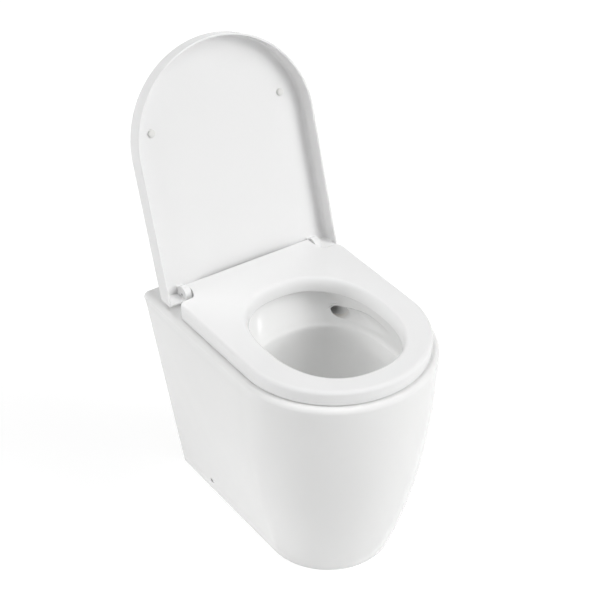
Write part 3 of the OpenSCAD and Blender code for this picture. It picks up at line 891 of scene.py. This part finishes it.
    def _deck_and_mouth(self, loft: Loft) -> None:
        """Grow the flat deck and the rounded edge of the bowl's mouth.

        Args:
            loft: The casting's skin.
        """
        top = self.outline(self.height, self.rim_round, self.rear_round)
        half, rear, front = self.rows[0][1:]
        r = self.mouth_round
        mouth = self.oval(half + r, rear - r, front + r, self.height)
        for share in (0.02, 0.2, 0.4, 0.6, 0.8, 0.97):
            loft.grow(between(top, mouth, share))
        for a in sub_steps(0, 90, 6):
            s, c = sin_cos(a)
            out, down = r * (1 - s), r * (1 - c)
            loft.grow(self.oval(half + out, rear - out, front + out, self.height - down))

    def _bowl_and_trap(self, loft: Loft) -> None:
        """Grow the bowl and the trap's passage, and come back along their outsides.

        Args:
            loft: The casting's skin.
        """
        depths = (sub_steps(6, 46, 24)[1:] + sub_steps(46, 62, 16)[1:] + sub_steps(62, 94, 6)[1:]
                  + sub_steps(94, self.sump_depth, 22)[1:])
        for depth in depths:
            loft.grow(self._grooved(self.bowl_ring(depth), self.bowl_ring(depth, 1.0)))
        stops = self.trap_stops()
        for y, z, heading in stops[1:]:
            loft.grow(self.tube_ring(y, z, heading, self.trap_radius))
        end, r, outside = -self.outlet_end, self.outlet_radius, self.trap_radius + self.trap_wall
        lip = [(-46, self.trap_radius), (-40, r - 7), (end - 1, r - 7), (end, r - 6),
               (end, r - 1.5), (end - 0.5, r - 0.4), (end - 1.5, r), (-62, r), (-65, outside)]
        for y, radius in lip:
            loft.grow(self.tube_ring(y, self.outlet_height, 0, radius))
        for y, z, heading in reversed(stops[2:]):
            loft.grow(self.tube_ring(y, z, heading, outside))
        for depth in (250, 226, 189, 165, 144, 120, 94, 70, 50, 36, 28):
            loft.grow(self._bossed(self.bowl_ring(depth, self.wall, 6)))
        loft.grow(self.bowl_ring(self.deck, self.wall))

    def _bossed(self, ring: Sequence[Point]) -> list[Point]:
        """Thicken the bowl's outside round the flush port.

        Args:
            ring: The ring's places.

        Returns:
            The thickened ring.
        """
        px, py, pz = self.port
        out = []
        for x, y, z in ring:
            near = math.exp(-sum((d / self.boss_spread) ** 2 for d in (x - px, y + py, z - pz)))
            out.append((x + 14 * near, y + 22 * near, z))
        return out

    def _grooved(self, ring: Sequence[Point], outward: Sequence[Point]) -> list[Point]:
        """Press the jet's groove into a ring of the bowl's right wall.

        Args:
            ring: The ring's places.
            outward: The same places, one millimetre further out.

        Returns:
            The ring with the groove.
        """
        out = []
        for (x, y, z), (u, v, _) in zip(ring, outward):
            push = 0.0
            if x > 0 and self.groove[0][0] < -y < self.groove[-1][0]:
                middle, half, deep = blend_rows(self.groove, -y)
                t = (z - middle) / half
                if abs(t) < 1:
                    push = deep * (1 - t * t) ** (0.9 if t > 0 else 1.7)
            out.append((x + (u - x) * push, y + (v - y) * push, z))
        return out

    def _port_bar(self, name: str, stops: Iterable[Point]) -> Object:
        """Build an oval bar on the flush port's axis.

        Args:
            name: The object's name.
            stops: Its rings: place along Y, how far the right side runs ahead, and extra radius.

        Returns:
            The bar.
        """
        x, _, z = self.port
        wide, high = self.port_half
        bar = Loft(48)
        for y, ahead, grow in stops:
            bar.grow([(x + (wide + grow) * math.cos(a), y - ahead * (1 + math.cos(a)),
                       z + (high + grow) * math.sin(a))
                      for a in sub_steps(0, 2 * math.pi, bar.count)[:-1]])
        return bar.solid(name)

    def _mark_bare(self, loft: Loft, marks: dict[str, int]) -> None:
        """Mark the unglazed clay: the foot, the wall face and the inside of the shell.

        Args:
            loft: The casting's skin.
            marks: Ring numbers where its parts begin and end.
        """
        chosen = [vert for ring in loft.rings[marks["inner_top"] - 2:] + loft.rings[:1]
                  for vert in ring]
        chosen += [vert for ring in loft.rings[:marks["shell_top"] + 8] for vert in ring
                   if vert.co.y > -0.0005]
        for vert in chosen:
            vert[loft.mark] = 1.0

    def _open_rear(self, loft: Loft, marks: dict[str, int]) -> None:
        """Take out the rear wall under the deck, between the two flanges.

        Args:
            loft: The casting's skin.
            marks: Ring numbers where its parts begin and end.
        """
        n, mesh = self.flange_points, loft.mesh
        inside = list(range(-n, n + 1))
        outer = loft.rings[:marks["shell_top"] + 1]
        inner = loft.rings[marks["inner_top"]:marks["inner_end"] + 1]
        chosen = {ring[i] for ring in outer + inner + [loft.rings[-1]] for i in inside}
        gone = [f for f in mesh.faces if all(v in chosen for v in f.verts)]
        bmesh.ops.delete(mesh, geom=gone, context="FACES_KEEP_BOUNDARY")
        # Each flange's edge and the deck's edge close the casting again
        faces = [[outer[k][side], outer[k + 1][side], inner[-2 - k][side], inner[-1 - k][side]]
                 for side in (-n, n) for k in range(len(outer) - 1)]
        faces += [[outer[-1][i], outer[-1][i + 1], inner[0][i + 1], inner[0][i]]
                  for i in inside[:-1]]
        for verts in faces:
            bmesh.ops.contextual_create(mesh, geom=verts)
        loose = [v for v in mesh.verts if not v.link_faces]
        bmesh.ops.delete(mesh, geom=loose, context="VERTS")
        for i in (0, -1):
            loft.rings[i] = [v for v in loft.rings[i] if v.is_valid]

    def flush_way(self) -> Object:
        """Build the socket of the flush inlet and the ducts that lead to the port.

        Returns:
            The flush way's object.
        """
        z, r = self.inlet_height, self.inlet_radius
        profile = [(r, 0), (r, 47), (17, 52), (17, 100), (26, 100), (26, 56), (r + 7, 50),
                   (r + 7, 1.2), (r + 5.8, 0), (r, 0)]
        upright = Matrix.Rotation(math.pi / 2, 4, "X")
        turn = Matrix.Translation(Vector((0, -self.inlet_end, z)) * MM) @ upright
        piece = spun("pan_flush_way", profile, (0, 0, 0), turn, 64)
        y, z = -self.cross[0], self.cross[1]
        cut(piece, [rod("cross", 19, (-6, y, z), (104, y, z))], join=True)
        duct = [(y, 0, 4.0), (-182, 10, 4.0), (-182, 10, -0.15), (y - 6, 0, -0.15)]
        cut(piece, [self._port_bar("duct", duct)], join=True)
        return piece

    def bosses(self) -> Iterator[Object]:
        """Build the bosses under the seat fixings and behind the side fixing holes.

        Yields:
            Each boss.
        """
        for s in (-1, 1):
            ring = [(8, 0), (8, 5), (15.5, 5), (16.5, 4), (16.5, 0), (8, 0)]
            yield spun("part", ring, (s * self.fix_pitch / 2, -self.axis,
                                      self.height - self.deck - 4.5))
            y, z, r = self.side_hole
            x = self.side(z, y) - self.wall
            side = Matrix.Translation(Vector((s * (x + 1), -y, z)) * MM) @ Matrix.Rotation(
                -s * math.pi / 2, 4, "Y")
            yield spun("part", [(r, 0), (r, 4), (10, 4), (11, 3), (11, 0), (r, 0)], (0, 0, 0), side)

    def build(self, shelf: FinishShelf) -> list[Object]:
        """Build and dress the pan's pieces.

        Args:
            shelf: The materials.

        Returns:
            The pieces.
        """
        pieces = [self.casting(), self.flush_way(), gathered("pan_bosses", self.bosses())]
        for piece in pieces:
            shelf.dress(piece, "vitreous_china")
            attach(piece, "base")
            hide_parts("pan")
        return pieces


# ---------------------------------------------------------------- the seat

@dataclass
class Seat:
    """Seat ring: a hollow D with hinge notches, and room for the hinge blocks at its rear."""

    under: float = 407.0
    top: float = 433.0
    half: float = 168.0
    nose: float = 310.0
    rear: float = 51.5
    axis: tuple[float, float] = (65.0, 422.0)
    tongue: float = 127.0
    notch: float = 97.0
    # Places along the notch's inner side, which leans in front of the lid's lug
    notch_side: list[tuple[float, float]] = field(default_factory=lambda: [
        (70, 127), (76, 127.3), (81, 128.3), (86, 130.2), (90, 132), (93.5, 134.2), (95.8, 137),
        (96.8, 140.5)])
    corner: float = 13.0
    open_half: float = 116.6
    open_rear: float = 145.7
    open_front: float = 435.2
    open_power: float = 2.31
    # Roundings of the edges: the upper ones, the hinge part's, the notch's and the lower ones
    edge_round: float = 7.0
    edge_small: float = 1.5
    edge_notch: float = 1.2
    edge_low: float = 1.0
    lip_back: float = 5.5
    lip_over: float = 4.5
    lip_drop: float = 22.0
    ceiling: float = 426.0
    hollow_wall: float = 8.0
    knuckle: float = 95.5
    damper: float = 6.5
    bush: float = 8.0
    rear_round: float = 13.5
    # Reach and slope of the room for the hinge blocks
    block_reach: float = 8.0
    block_slope: float = 10.0

    def half_outline(self) -> list[tuple[float, float, float, float, float, float]]:
        """Work out the right half of the outline.

        Returns:
            For each point: x, y, outward direction, radius of the top and of the bottom edge.
        """
        out = []
        r, low = self.edge_small, self.edge_low
        for x in sub_steps(0, self.tongue - r, 14):
            out.append((x, self.rear, 0, -1, r, low))
        for a in (30, 60, 90):
            s, c = sin_cos(a)
            out.append((self.tongue - r + r * s, self.rear + r - r * c, s, -c, r, low))
        for y in sub_steps(self.rear + r, self.notch_side[0][0], 3)[1:]:
            out.append((self.tongue, y, 1, 0, self.edge_notch, low))
        for (y0, x0), (y, x), (y1, x1) in zip(self.notch_side, self.notch_side[1:],
                                              self.notch_side[2:] + [(self.notch, 146)]):
            along = Vector((x1 - x0, y1 - y0)).normalized()
            out.append((x, y, along.y, -along.x, self.edge_notch, low))
        for x in sub_steps(144, self.half - self.corner, 3):
            out.append((x, self.notch, 0, -1, r, low))
        for a in sub_steps(0, 90, 10)[1:]:
            s, c = sin_cos(a)
            out.append((self.half - self.corner * (1 - s), self.notch + self.corner * (1 - c), s,
                        -c, r + (self.edge_round - r) * smooth_step(10, 90, a), low))
        top, low = self.edge_round, self.edge_notch
        for y in sub_steps(self.notch + self.corner, self.nose, 24)[1:]:
            out.append((self.half, y, 1, 0, top, low))
        for a in sub_steps(0, 90, 40)[1:]:
            s, c = sin_cos(a)
            out.append((self.half * c, self.nose + self.half * s, c, s, top, low))
        return out

    def stations(self) -> list[tuple[float, float, float, float, float, float]]:
        """Return the whole outline as a ring of stations, in the frame's axes."""
        right = [(x, -y, u, -v, t, b) for x, y, u, v, t, b in self.half_outline()]
        return right + [(-x, y, -u, v, t, b) for x, y, u, v, t, b in reversed(right[1:-1])]

    def outer(self, inset: Callable[[float, float], float],
              z: Callable[[float, float], float]) -> list[Point]:
        """Work out a ring that is drawn in from the outline.

        Args:
            inset: How far it is drawn in, from the radii of the top and of the bottom edge.
            z: Its height, from the same radii.

        Returns:
            The ring's places.
        """
        return [(x - u * inset(top, low), y - v * inset(top, low), z(top, low))
                for x, y, u, v, top, low in self.stations()]

    def opening(self, grow: float, z: float) -> list[Point]:
        """Return a ring on the opening's edge, drawn out by grow."""
        return [oval_point(bearing(x, y), self.open_half + grow, self.open_rear - grow,
                           self.open_front + grow, z, self.open_power)
                for x, y, *_ in self.stations()]

    def hollow(self) -> tuple[list[Point], list[Point], list[float]]:
        """Work out the hollow under the ring, which ends where the rear part begins.

        Returns:
            Its inner edge, its outer edge and its ceiling's height at each station.
        """
        inner = self.opening(self.hollow_wall, self.under)
        half, ahead = self.half - self.hollow_wall, self.nose - BOWL_MIDDLE
        outer, ceiling = [], []
        for (x, y, *_), (u, v, _) in zip(self.stations(), inner):
            a = bearing(x, y)
            c, s = math.cos(a), math.sin(a)
            side = half / max(abs(c), 1e-6)
            if -BOWL_MIDDLE + side * s < -self.nose:
                down = ahead * s
                side = -down + math.sqrt(down**2 + half**2 - ahead**2)
            rear = (BOWL_MIDDLE - self.open_rear) / s if s > 0.01 else 1e9
            near = math.hypot(u, v + BOWL_MIDDLE - 0.5)
            reach = max(min(side, rear), near + 1)
            outer.append((reach * c, -BOWL_MIDDLE + reach * s, self.under))
            ceiling.append(self.under + 1 + (self.ceiling - self.under - 1)
                           * smooth_step(1.5, 8, reach - near))
        return inner, outer, ceiling

    def ring(self) -> Object:
        """Build the seat ring.

        Returns:
            The ring's object.
        """
        loft = Loft(len(self.stations()))
        under, top = self.under, self.top
        first = self.outer(lambda t, b: b, lambda t, b: under)
        loft.grow(first)
        for a in (30, 60, 90):
            s, c = sin_cos(a)
            loft.grow(self.outer(lambda t, b: b * (1 - s), lambda t, b: under + b * (1 - c)))
        loft.grow(self.outer(lambda t, b: 0, lambda t, b: (under + b + top - t) / 2))
        for a in sub_steps(0, 90, 8):
            s, c = sin_cos(a)
            loft.grow(self.outer(lambda t, b: t * (1 - c), lambda t, b: top - t * (1 - s)))
        rim = self.outer(lambda t, b: t, lambda t, b: top)
        lip = self.opening(self.lip_back, top)
        for share in (0.06, 0.2, 0.35, 0.5, 0.65, 0.8, 0.94):
            loft.grow(between(rim, lip, share))
        for a in sub_steps(0, 90, 14):
            s, c = sin_cos(a)
            loft.grow(self.opening(self.lip_back - (self.lip_back + self.lip_over) * s,
                                   top - self.lip_drop * (1 - c)))
        for out, z in ((0.0, 2.4), (0.25, 1.3), (0.9, 0.4), (2.2, 0.0)):
            loft.grow(self.opening(out - self.lip_over, under + z))
        hollow_in, hollow_out, ceiling = self.hollow()
        loft.grow(hollow_in)
        for share in (0.0, 0.3, 0.6, 1.0):
            roof = between(hollow_in, hollow_out, share)
            loft.grow([(x, y, z) for (x, y, _), z in zip(roof, ceiling)])
        loft.grow(hollow_out)
        loft.grow(first)
        loft.weld_ends()
        return add_object("seat_ring_moulding", loft.mesh, SHARP_MOULDING)

    def room(self) -> list[Object]:
        """Build the solids that make room for the hinge blocks and the dampers.

        Returns:
            The solids.
        """
        y, z = -self.axis[0], self.axis[1]
        reach = self.block_reach
        s, c = sin_cos(self.block_slope)
        front = -self.open_rear + 5
        profile = [(front, self.under - 4), (y + 40, self.under - 4),
                   (y + 40, z + reach * c + 8), (y - reach * s, z + reach * c),
                   (y - reach, z + 7.5), (front, self.top - 3.5)]
        return [extruded("room", profile, -self.knuckle, self.knuckle), self._behind_edge(),
                rod("left seat", self.damper, (-self.tongue - 5, y, z), (-self.knuckle + 5, y, z)),
                rod("right seat", self.bush, (self.knuckle - 5, y, z), (self.tongue + 5, y, z))]

    def _behind_edge(self) -> Object:
        """Build the solid that leaves the seat's rear edge rounded about the hinge axis.

        Returns:
            The solid.
        """
        y, z = -self.axis[0], self.axis[1]
        top = math.asin((self.top - z) / self.rear_round)
        arc = [(y + self.rear_round * math.cos(a), z + self.rear_round * math.sin(a))
               for a in sub_steps(-math.pi / 2, top, 18)]
        profile = [(y, self.under - 5), (y + 40, self.under - 5), (y + 40, self.top + 5),
                   (arc[-1][0], self.top + 5)]
        return extruded("behind", profile + arc[::-1], -self.tongue - 10, self.tongue + 10)

    def build(self, shelf: FinishShelf) -> list[bpy.types.Object]:
        """Build and dress the seat.

        Args:
            shelf: The materials.

        Returns:
            The pieces.
        """
        piece = self.ring()
        cut(piece, self.room(), sharp=SHARP_MOULDING)
        shelf.dress(piece, "seat_plastic")
        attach(piece, "seat")
        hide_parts("seat_ring")
        return [piece]


# ---------------------------------------------------------------- the lid

@dataclass
class Lid:
    """Wrap-over lid, drawn closed and then swung open about the hinge axis."""

    half: float = 174.0
    nose: float = 310.0
    rim: float = 408.0
    ceiling: float = 437.0
    top: float = 441.0
    thick: float = 4.0
    outer_round: float = 6.0
    fillet: float = 7.0
    rim_round: float = 1.4
    plate_rear: float = 58.0
    skirt_rear: float = 50.0
    axis: tuple[float, float] = (65.0, 422.0)
    lug: float = 15.0
    lug_in: float = 128.5
    lug_out: float = 141.0
    lug_fillet: float = 3.5
    # The web's thickness, where its front edge and its floor start at the lug, and its rear
    web: float = 2.6
    web_front: float = 12.0
    web_floor: float = 9.0
    web_rear: float = 15.5
    skirt_end: float = 5.0
    rim_reach: float = 16.0
    dot: float = 2.4
    pin: float = 3.0
    opened_by: float = 107.5
    bumper: tuple[float, float, float] = (129.0, 348.0, 7.0)
    seat_top: float = 433.0

    @property
    def pivot(self) -> Vector:
        """Return the hinge axis, in metres."""
        return Vector((0, -self.axis[0], self.axis[1])) * MM

    @property
    def back(self) -> Matrix:
        """Return the matrix that takes a place counted from the axis, lid open, to lid closed."""
        turn = Matrix.Rotation(math.radians(self.opened_by), 4, "X")
        return Matrix.Translation(self.pivot) @ turn

    @property
    def swing(self) -> Matrix:
        """Return the matrix that swings a closed-drawn piece open."""
        turn = Matrix.Rotation(math.radians(-self.opened_by), 4, "X")
        return Matrix.Translation(self.pivot) @ turn @ Matrix.Translation(-self.pivot)

    def outline(self, inset: float, rear: float, z: float) -> list[Point]:
        """Work out the lid's outline as a ring.

        Args:
            inset: How far the sides and the nose are drawn in.
            rear: Distance of its straight rear side from the wall.
            z: Height.

        Returns:
            The ring's places, from the middle of the rear.
        """
        half = self.half - inset
        right = [(x, rear) for x in sub_steps(0, half - 1, 12)]
        right += [(half, y) for y in sub_steps(rear + 1, self.nose, 40)]
        right += [(half * math.cos(a), self.nose + half * math.sin(a))
                  for a in sub_steps(0, math.pi / 2, 48)[1:]]
        return mirrored([(x, -y, z) for x, y in right])

    def _solid(self, name: str, rows: Sequence[Plan], rear: float) -> Object:
        """Build a solid on the lid's outline.

        Args:
            name: The object's name.
            rows: Its rings, as (inset, z).
            rear: Distance of its straight rear side from the wall.

        Returns:
            The solid.
        """
        loft = Loft(len(self.outline(0, rear, 0)))
        for inset, z in rows:
            loft.grow(self.outline(inset, rear, z))
        return loft.solid(name, SHARP_MOULDING)

    def shell(self) -> Object:
        """Build the lid's shell, closed.

        Returns:
            The shell's object.
        """
        r, f, b, t = self.outer_round, self.fillet, self.rim_round, self.thick
        quarter = [sin_cos(a) for a in sub_steps(0, 90, 8)[1:]]
        rows = [(b * (1 - s), self.rim + b * (1 - c))
                for s, c in map(sin_cos, (0, 22, 45, 67, 90))]
        rows += [(0, z) for z in sub_steps(self.rim + b, self.top - r, 4)[1:]]
        rows += [(r * (1 - c), self.top - r * (1 - s)) for s, c in quarter]
        body = self._solid("lid_shell", rows, self.skirt_rear)
        rows = [(t - 1.2, self.rim - 0.6), (t - 1.05, self.rim), (t - 0.35, self.rim + 0.35),
                (t, self.rim + 1.05)]
        rows += [(t, z) for z in sub_steps(self.rim + 1.05, self.ceiling - f, 4)[1:]]
        rows += [(t + f * (1 - c), self.ceiling - f * (1 - s)) for s, c in quarter]
        cut(body, [self._solid("room", rows, self.skirt_rear - 12)], sharp=SHARP_MOULDING)
        return body

    def _lug(self, side: int) -> Object:
        """Build a lug: a round eye that flows into the lid's flat with fillets.

        Args:
            side: -1 for the left lug and 1 for the right one.

        Returns:
            The lug.
        """
        y, z = -self.axis[0], self.axis[1]
        r, fillet = self.lug, self.lug_fillet
        lift = self.ceiling - z
        reach = math.sqrt(max((r + fillet) ** 2 - (lift - fillet) ** 2, 0.0))
        start = math.atan2(lift - fillet, -reach)
        # Eye, from its rear round the underside to its front, up to where the fillet starts
        angles = [math.radians(a) for a in sub_steps(35, -215, 40)]
        angles += sub_steps(math.radians(-215) + 2 * math.pi, start, 6)[1:]
        profile = [(y + r * math.cos(a), z + r * math.sin(a)) for a in angles]
        for a in sub_steps(start - math.pi, math.pi / 2, 8)[1:]:
            profile.append((y - reach + fillet * math.cos(a),
                            self.ceiling - fillet + fillet * math.sin(a)))
        top = self.ceiling + 1.5
        profile += [(y - reach - 1, top), (y + 7, top)]
        return extruded("lug", profile, side * self.lug_in, side * self.lug_out, 0.8)

    def _web(self, side: int) -> Object:
        """Build the leaning web that joins the skirt's level end to the lug's underside.

        Args:
            side: -1 for the left web and 1 for the right one.

        Returns:
            The web.
        """
        loft = Loft(4)
        inner, outer = self.lug_out - 2, self.half - self.thick / 2
        for share in sub_steps(0, 1, 6):
            x = side * (inner + (outer - inner) * share)
            front = -self.web_front - (self.rim_reach - self.web_front) * share
            floor = -self.web_floor + (self.web_floor - self.skirt_end) * (1 - (1 - share) ** 2)
            roof, rear = floor + self.web, self.web_rear
            loft.grow([(x, front, floor), (x, rear, floor), (x, rear, roof), (x, front, roof)])
        return loft.solid("web", turn=self.back)

    def moulding(self) -> Object:
        """Build the lid itself, open.

        Returns:
            The lid's object.
        """
        body = self.shell()
        y, z = -self.axis[0], self.axis[1]
        cutters = [block("gap", (-self.lug_in, -self.plate_rear, 380), (self.lug_in, 5, 460))]
        for s in (-1, 1):
            x0, x1 = sorted((s * (self.lug_in - 1), s * 200))
            cutters.append(block("below", (x0, -60, -80), (x1, 60, -self.skirt_end), self.back))
        cut(body, cutters, sharp=SHARP_MOULDING)
        cut(body, [self._web(-1), self._web(1), self._lug(-1), self._lug(1)], join=True,
            sharp=SHARP_MOULDING)
        holes = []
        for s in (-1, 1):
            for name, radius, x0, x1, segments in (
                    ("dot", self.dot, self.lug_out - 3, self.lug_out + 4, 24),
                    ("pin", self.pin, self.lug_in - 4, self.lug_out - 4, 32)):
                holes.append(rod(name, radius, (s * x0, y, z), (s * x1, y, z), segments))
        cut(body, holes, sharp=SHARP_MOULDING)
        body.data.transform(self.swing)
        body.name = "lid_moulding"
        even_normals(body)
        return body

    def painted_shade_plugs(self) -> Iterator[Object]:
        """Build the dark discs that paint shade into the bottom of the lugs' small holes.

        Yields:
            Each painted shade disc.
        """
        # Painted shade: a dark disc a little inside each small hole, in front of the real pin
        r = self.dot - 0.05
        for s in (-1, 1):
            place = Vector((s * (self.lug_out - 2.2), -self.axis[0], self.axis[1])) * MM
            turn = self.swing @ Matrix.Translation(place) @ Matrix.Rotation(
                s * math.pi / 2, 4, "Y")
            yield spun("part", [(0, 0), (r, 0), (r, 1.3), (r - 0.3, 1.6), (0, 1.6)], (0, 0, 0),
                       turn, 24)

    def pads(self) -> Iterator[Object]:
        """Build the two round bumpers under the lid.

        Yields:
            Each bumper.
        """
        x, y, r = self.bumper
        low, high = self.seat_top + 0.3, self.ceiling
        profile = [(0, low), (r * 0.45, low + 0.1), (r - 1.6, low + 0.5), (r - 0.5, low + 1.4),
                   (r, low + 2.4), (r, high), (0, high)]
        for s in (-1, 1):
            yield spun("part", profile, (s * x, -y, 0), self.swing)

    def build(self, shelf: FinishShelf) -> list[Object]:
        """Build and dress the lid, its bumpers and the dark discs of painted shade in its lugs'
        holes.

        Args:
            shelf: The materials.

        Returns:
            The pieces.
        """
        body = self.moulding()
        shelf.dress(body, "lid_plastic")
        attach(body, "lid")
        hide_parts("lid")
        pads = gathered("lid_bumper_pads", self.pads())
        shelf.dress(pads, "bumper_rubber")
        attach(pads, "lid")
        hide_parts("lid_bumpers")
        # Dark discs in the lugs' small holes: painted shade, in the damper plastic's dark colour
        ends = gathered("lid_painted_shade_plugs", self.painted_shade_plugs())
        shelf.dress(ends, "damper_plastic")
        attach(ends, "lid")
        return [body, pads, ends]


# ---------------------------------------------------------------- stage, light and camera

@dataclass
class Studio:
    """White floor, even light from the sides, and the photograph's camera."""

    camera: Point = (-1500.3, -2414.6, 2285.3)
    target: Point = (174.4, 38.3, 228.5)
    lens: float = 115.26
    # Azimuth from the front to the right, elevation, tightness and strength of each soft light
    lights: list[tuple[float, float, float, float]] = field(default_factory=lambda: [
        (-60, 5, 60, 3.5), (18, 25, 60, 2.1), (36, 25, 60, 15.5), (-126, 25, 60, 7.6),
        (-108, 25, 60, 5.8), (-72, 25, 60, 3.8), (26, 50, 60, 2.5), (51, 50, 60, 9.3),
        (-120, 75, 60, 7.3), (-120, 75, 12, 0.73)])
    # The lamp beside the camera, in metres and watts
    lamp_place: Point = (1.29, -0.95, 0.92)
    lamp_target: Point = (0, -0.3, 0.32)
    lamp_size: Plan = (0.3, 0.2)
    lamp_power: float = 0.6

    def camera_object(self) -> None:
        """Place the camera and make it the scene's."""
        data = bpy.data.cameras.new("camera")
        data.lens = self.lens
        data.sensor_width = 36.0
        data.clip_start, data.clip_end = 0.05, 60.0
        made = self.placed("camera", data, self.camera, self.target, MM)
        bpy.context.scene.camera = made

    @staticmethod
    def placed(name: str, data: bpy.types.ID, place: Point, target: Point,
               unit: float = 1.0) -> Object:
        """Add a camera or a lamp that looks from one place at another.

        Args:
            name: The object's name.
            data: Its camera or lamp data.
            place: Where it stands.
            target: Where it looks.
            unit: Metres in one unit of the places.

        Returns:
            The new object.
        """
        made = bpy.data.objects.new(name, data)
        bpy.context.scene.collection.objects.link(made)
        made.location = Vector(place) * unit
        made.rotation_euler = (Vector(target) - Vector(place)).to_track_quat("-Z", "Y").to_euler()
        return made

    @staticmethod
    def shown_white(wires: Wiring) -> Socket:
        """Make a mask of the rays that see the white background: camera, gloss and glass.

        Args:
            wires: The tree to make it in.

        Returns:
            The mask.
        """
        path = wires.node("LightPath").outputs
        mask = path["Is Camera Ray"]
        for label in ("Is Glossy Ray", "Is Transmission Ray"):
            mask = wires.maths("MAXIMUM", mask, path[label])
        return mask

    def world(self) -> None:
        """Light the scene with soft round lights in the sky, strongest beside the camera."""
        world = bpy.data.worlds.new("studio")
        bpy.context.scene.world = world
        world.use_nodes = True
        world.node_tree.nodes.clear()
        wires = Wiring(world.node_tree)
        place = wires.node("TexCoord").outputs["Generated"]
        total: object = 0.0
        for azimuth, elevation, tight, strength in self.lights:
            (s, c), (up, level) = sin_cos(azimuth), sin_cos(elevation)
            facing = wires.node("VectorMath", {0: place, 1: (s * level, -c * level, up)},
                                operation="DOT_PRODUCT").outputs["Value"]
            spread = wires.maths("POWER", wires.maths("MAXIMUM", facing, 0.0), tight)
            total = wires.maths("ADD", total, wires.maths("MULTIPLY", spread, strength))
        shade = wires.node("Background", {"Strength": total}).outputs["Background"]
        white = wires.node("Background", {"Color": (1, 1, 1, 1)}).outputs["Background"]
        mix = wires.node("MixShader", {"Fac": self.shown_white(wires), 1: shade, 2: white})
        wires.node("OutputWorld", {"Surface": mix.outputs["Shader"]})

    def lamp(self) -> None:
        """Add the soft rectangular lamp that shows as a window in the glaze."""
        data = bpy.data.lights.new("window box", "AREA")
        data.shape = "RECTANGLE"
        data.size, data.size_y = self.lamp_size
        data.energy = self.lamp_power
        self.placed("window box", data, self.lamp_place, self.lamp_target)

    def floor(self) -> None:
        """Lay a white floor that shows white to the camera but keeps a faint shadow."""
        mesh = bmesh.new()
        bmesh.ops.create_grid(mesh, x_segments=2, y_segments=2, size=12.0)
        made = add_object("floor", mesh)
        made.data.transform(Matrix.Translation((0, 0, -0.0002)))
        material = bpy.data.materials.new("White floor")
        material.use_nodes = True
        material.node_tree.nodes.clear()
        wires = Wiring(material.node_tree)
        bounce, seen = (wires.node("BsdfDiffuse", {"Color": (v, v, v, 1)}).outputs["BSDF"]
                        for v in (0.8, 0.3))
        glow = wires.node("Emission", {"Strength": 0.82}).outputs["Emission"]
        both = wires.node("AddShader", {0: seen, 1: glow}).outputs["Shader"]
        mix = wires.node("MixShader", {"Fac": self.shown_white(wires), 1: bounce, 2: both})
        wires.node("OutputMaterial", {"Surface": mix.outputs["Shader"]})
        made.data.materials.append(material)

    def build(self) -> None:
        """Set up the camera, the lights and the floor."""
        bpy.context.scene.view_settings.view_transform = "Standard"
        self.camera_object()
        self.world()
        self.floor()
        self.lamp()


def dress_cad_nodes(shelf: FinishShelf, record: dict) -> None:
    """Give each CAD node that stays in view its slot's material.

    Args:
        shelf: The materials.
        record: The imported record, which names each node's slot.
    """
    for part in record["subparts"]:
        node = frame["nodes"].get(part["node"])
        if node is not None:
            shelf.dress_node(node, part["material_slot"])


def main() -> None:
    """Build every sub-assembly in order."""
    logging.basicConfig(level=logging.INFO, format="%(name)s: %(message)s")
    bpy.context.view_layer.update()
    Studio().build()
    shelf = FinishShelf()
    dress_cad_nodes(shelf, frame["record"])
    for assembly in (Pan(), Seat(), Lid()):
        for piece in assembly.build(shelf):
            LOG.info("%s: %d faces", piece.name, len(piece.data.polygons))


if __name__ == "__main__":
    main()
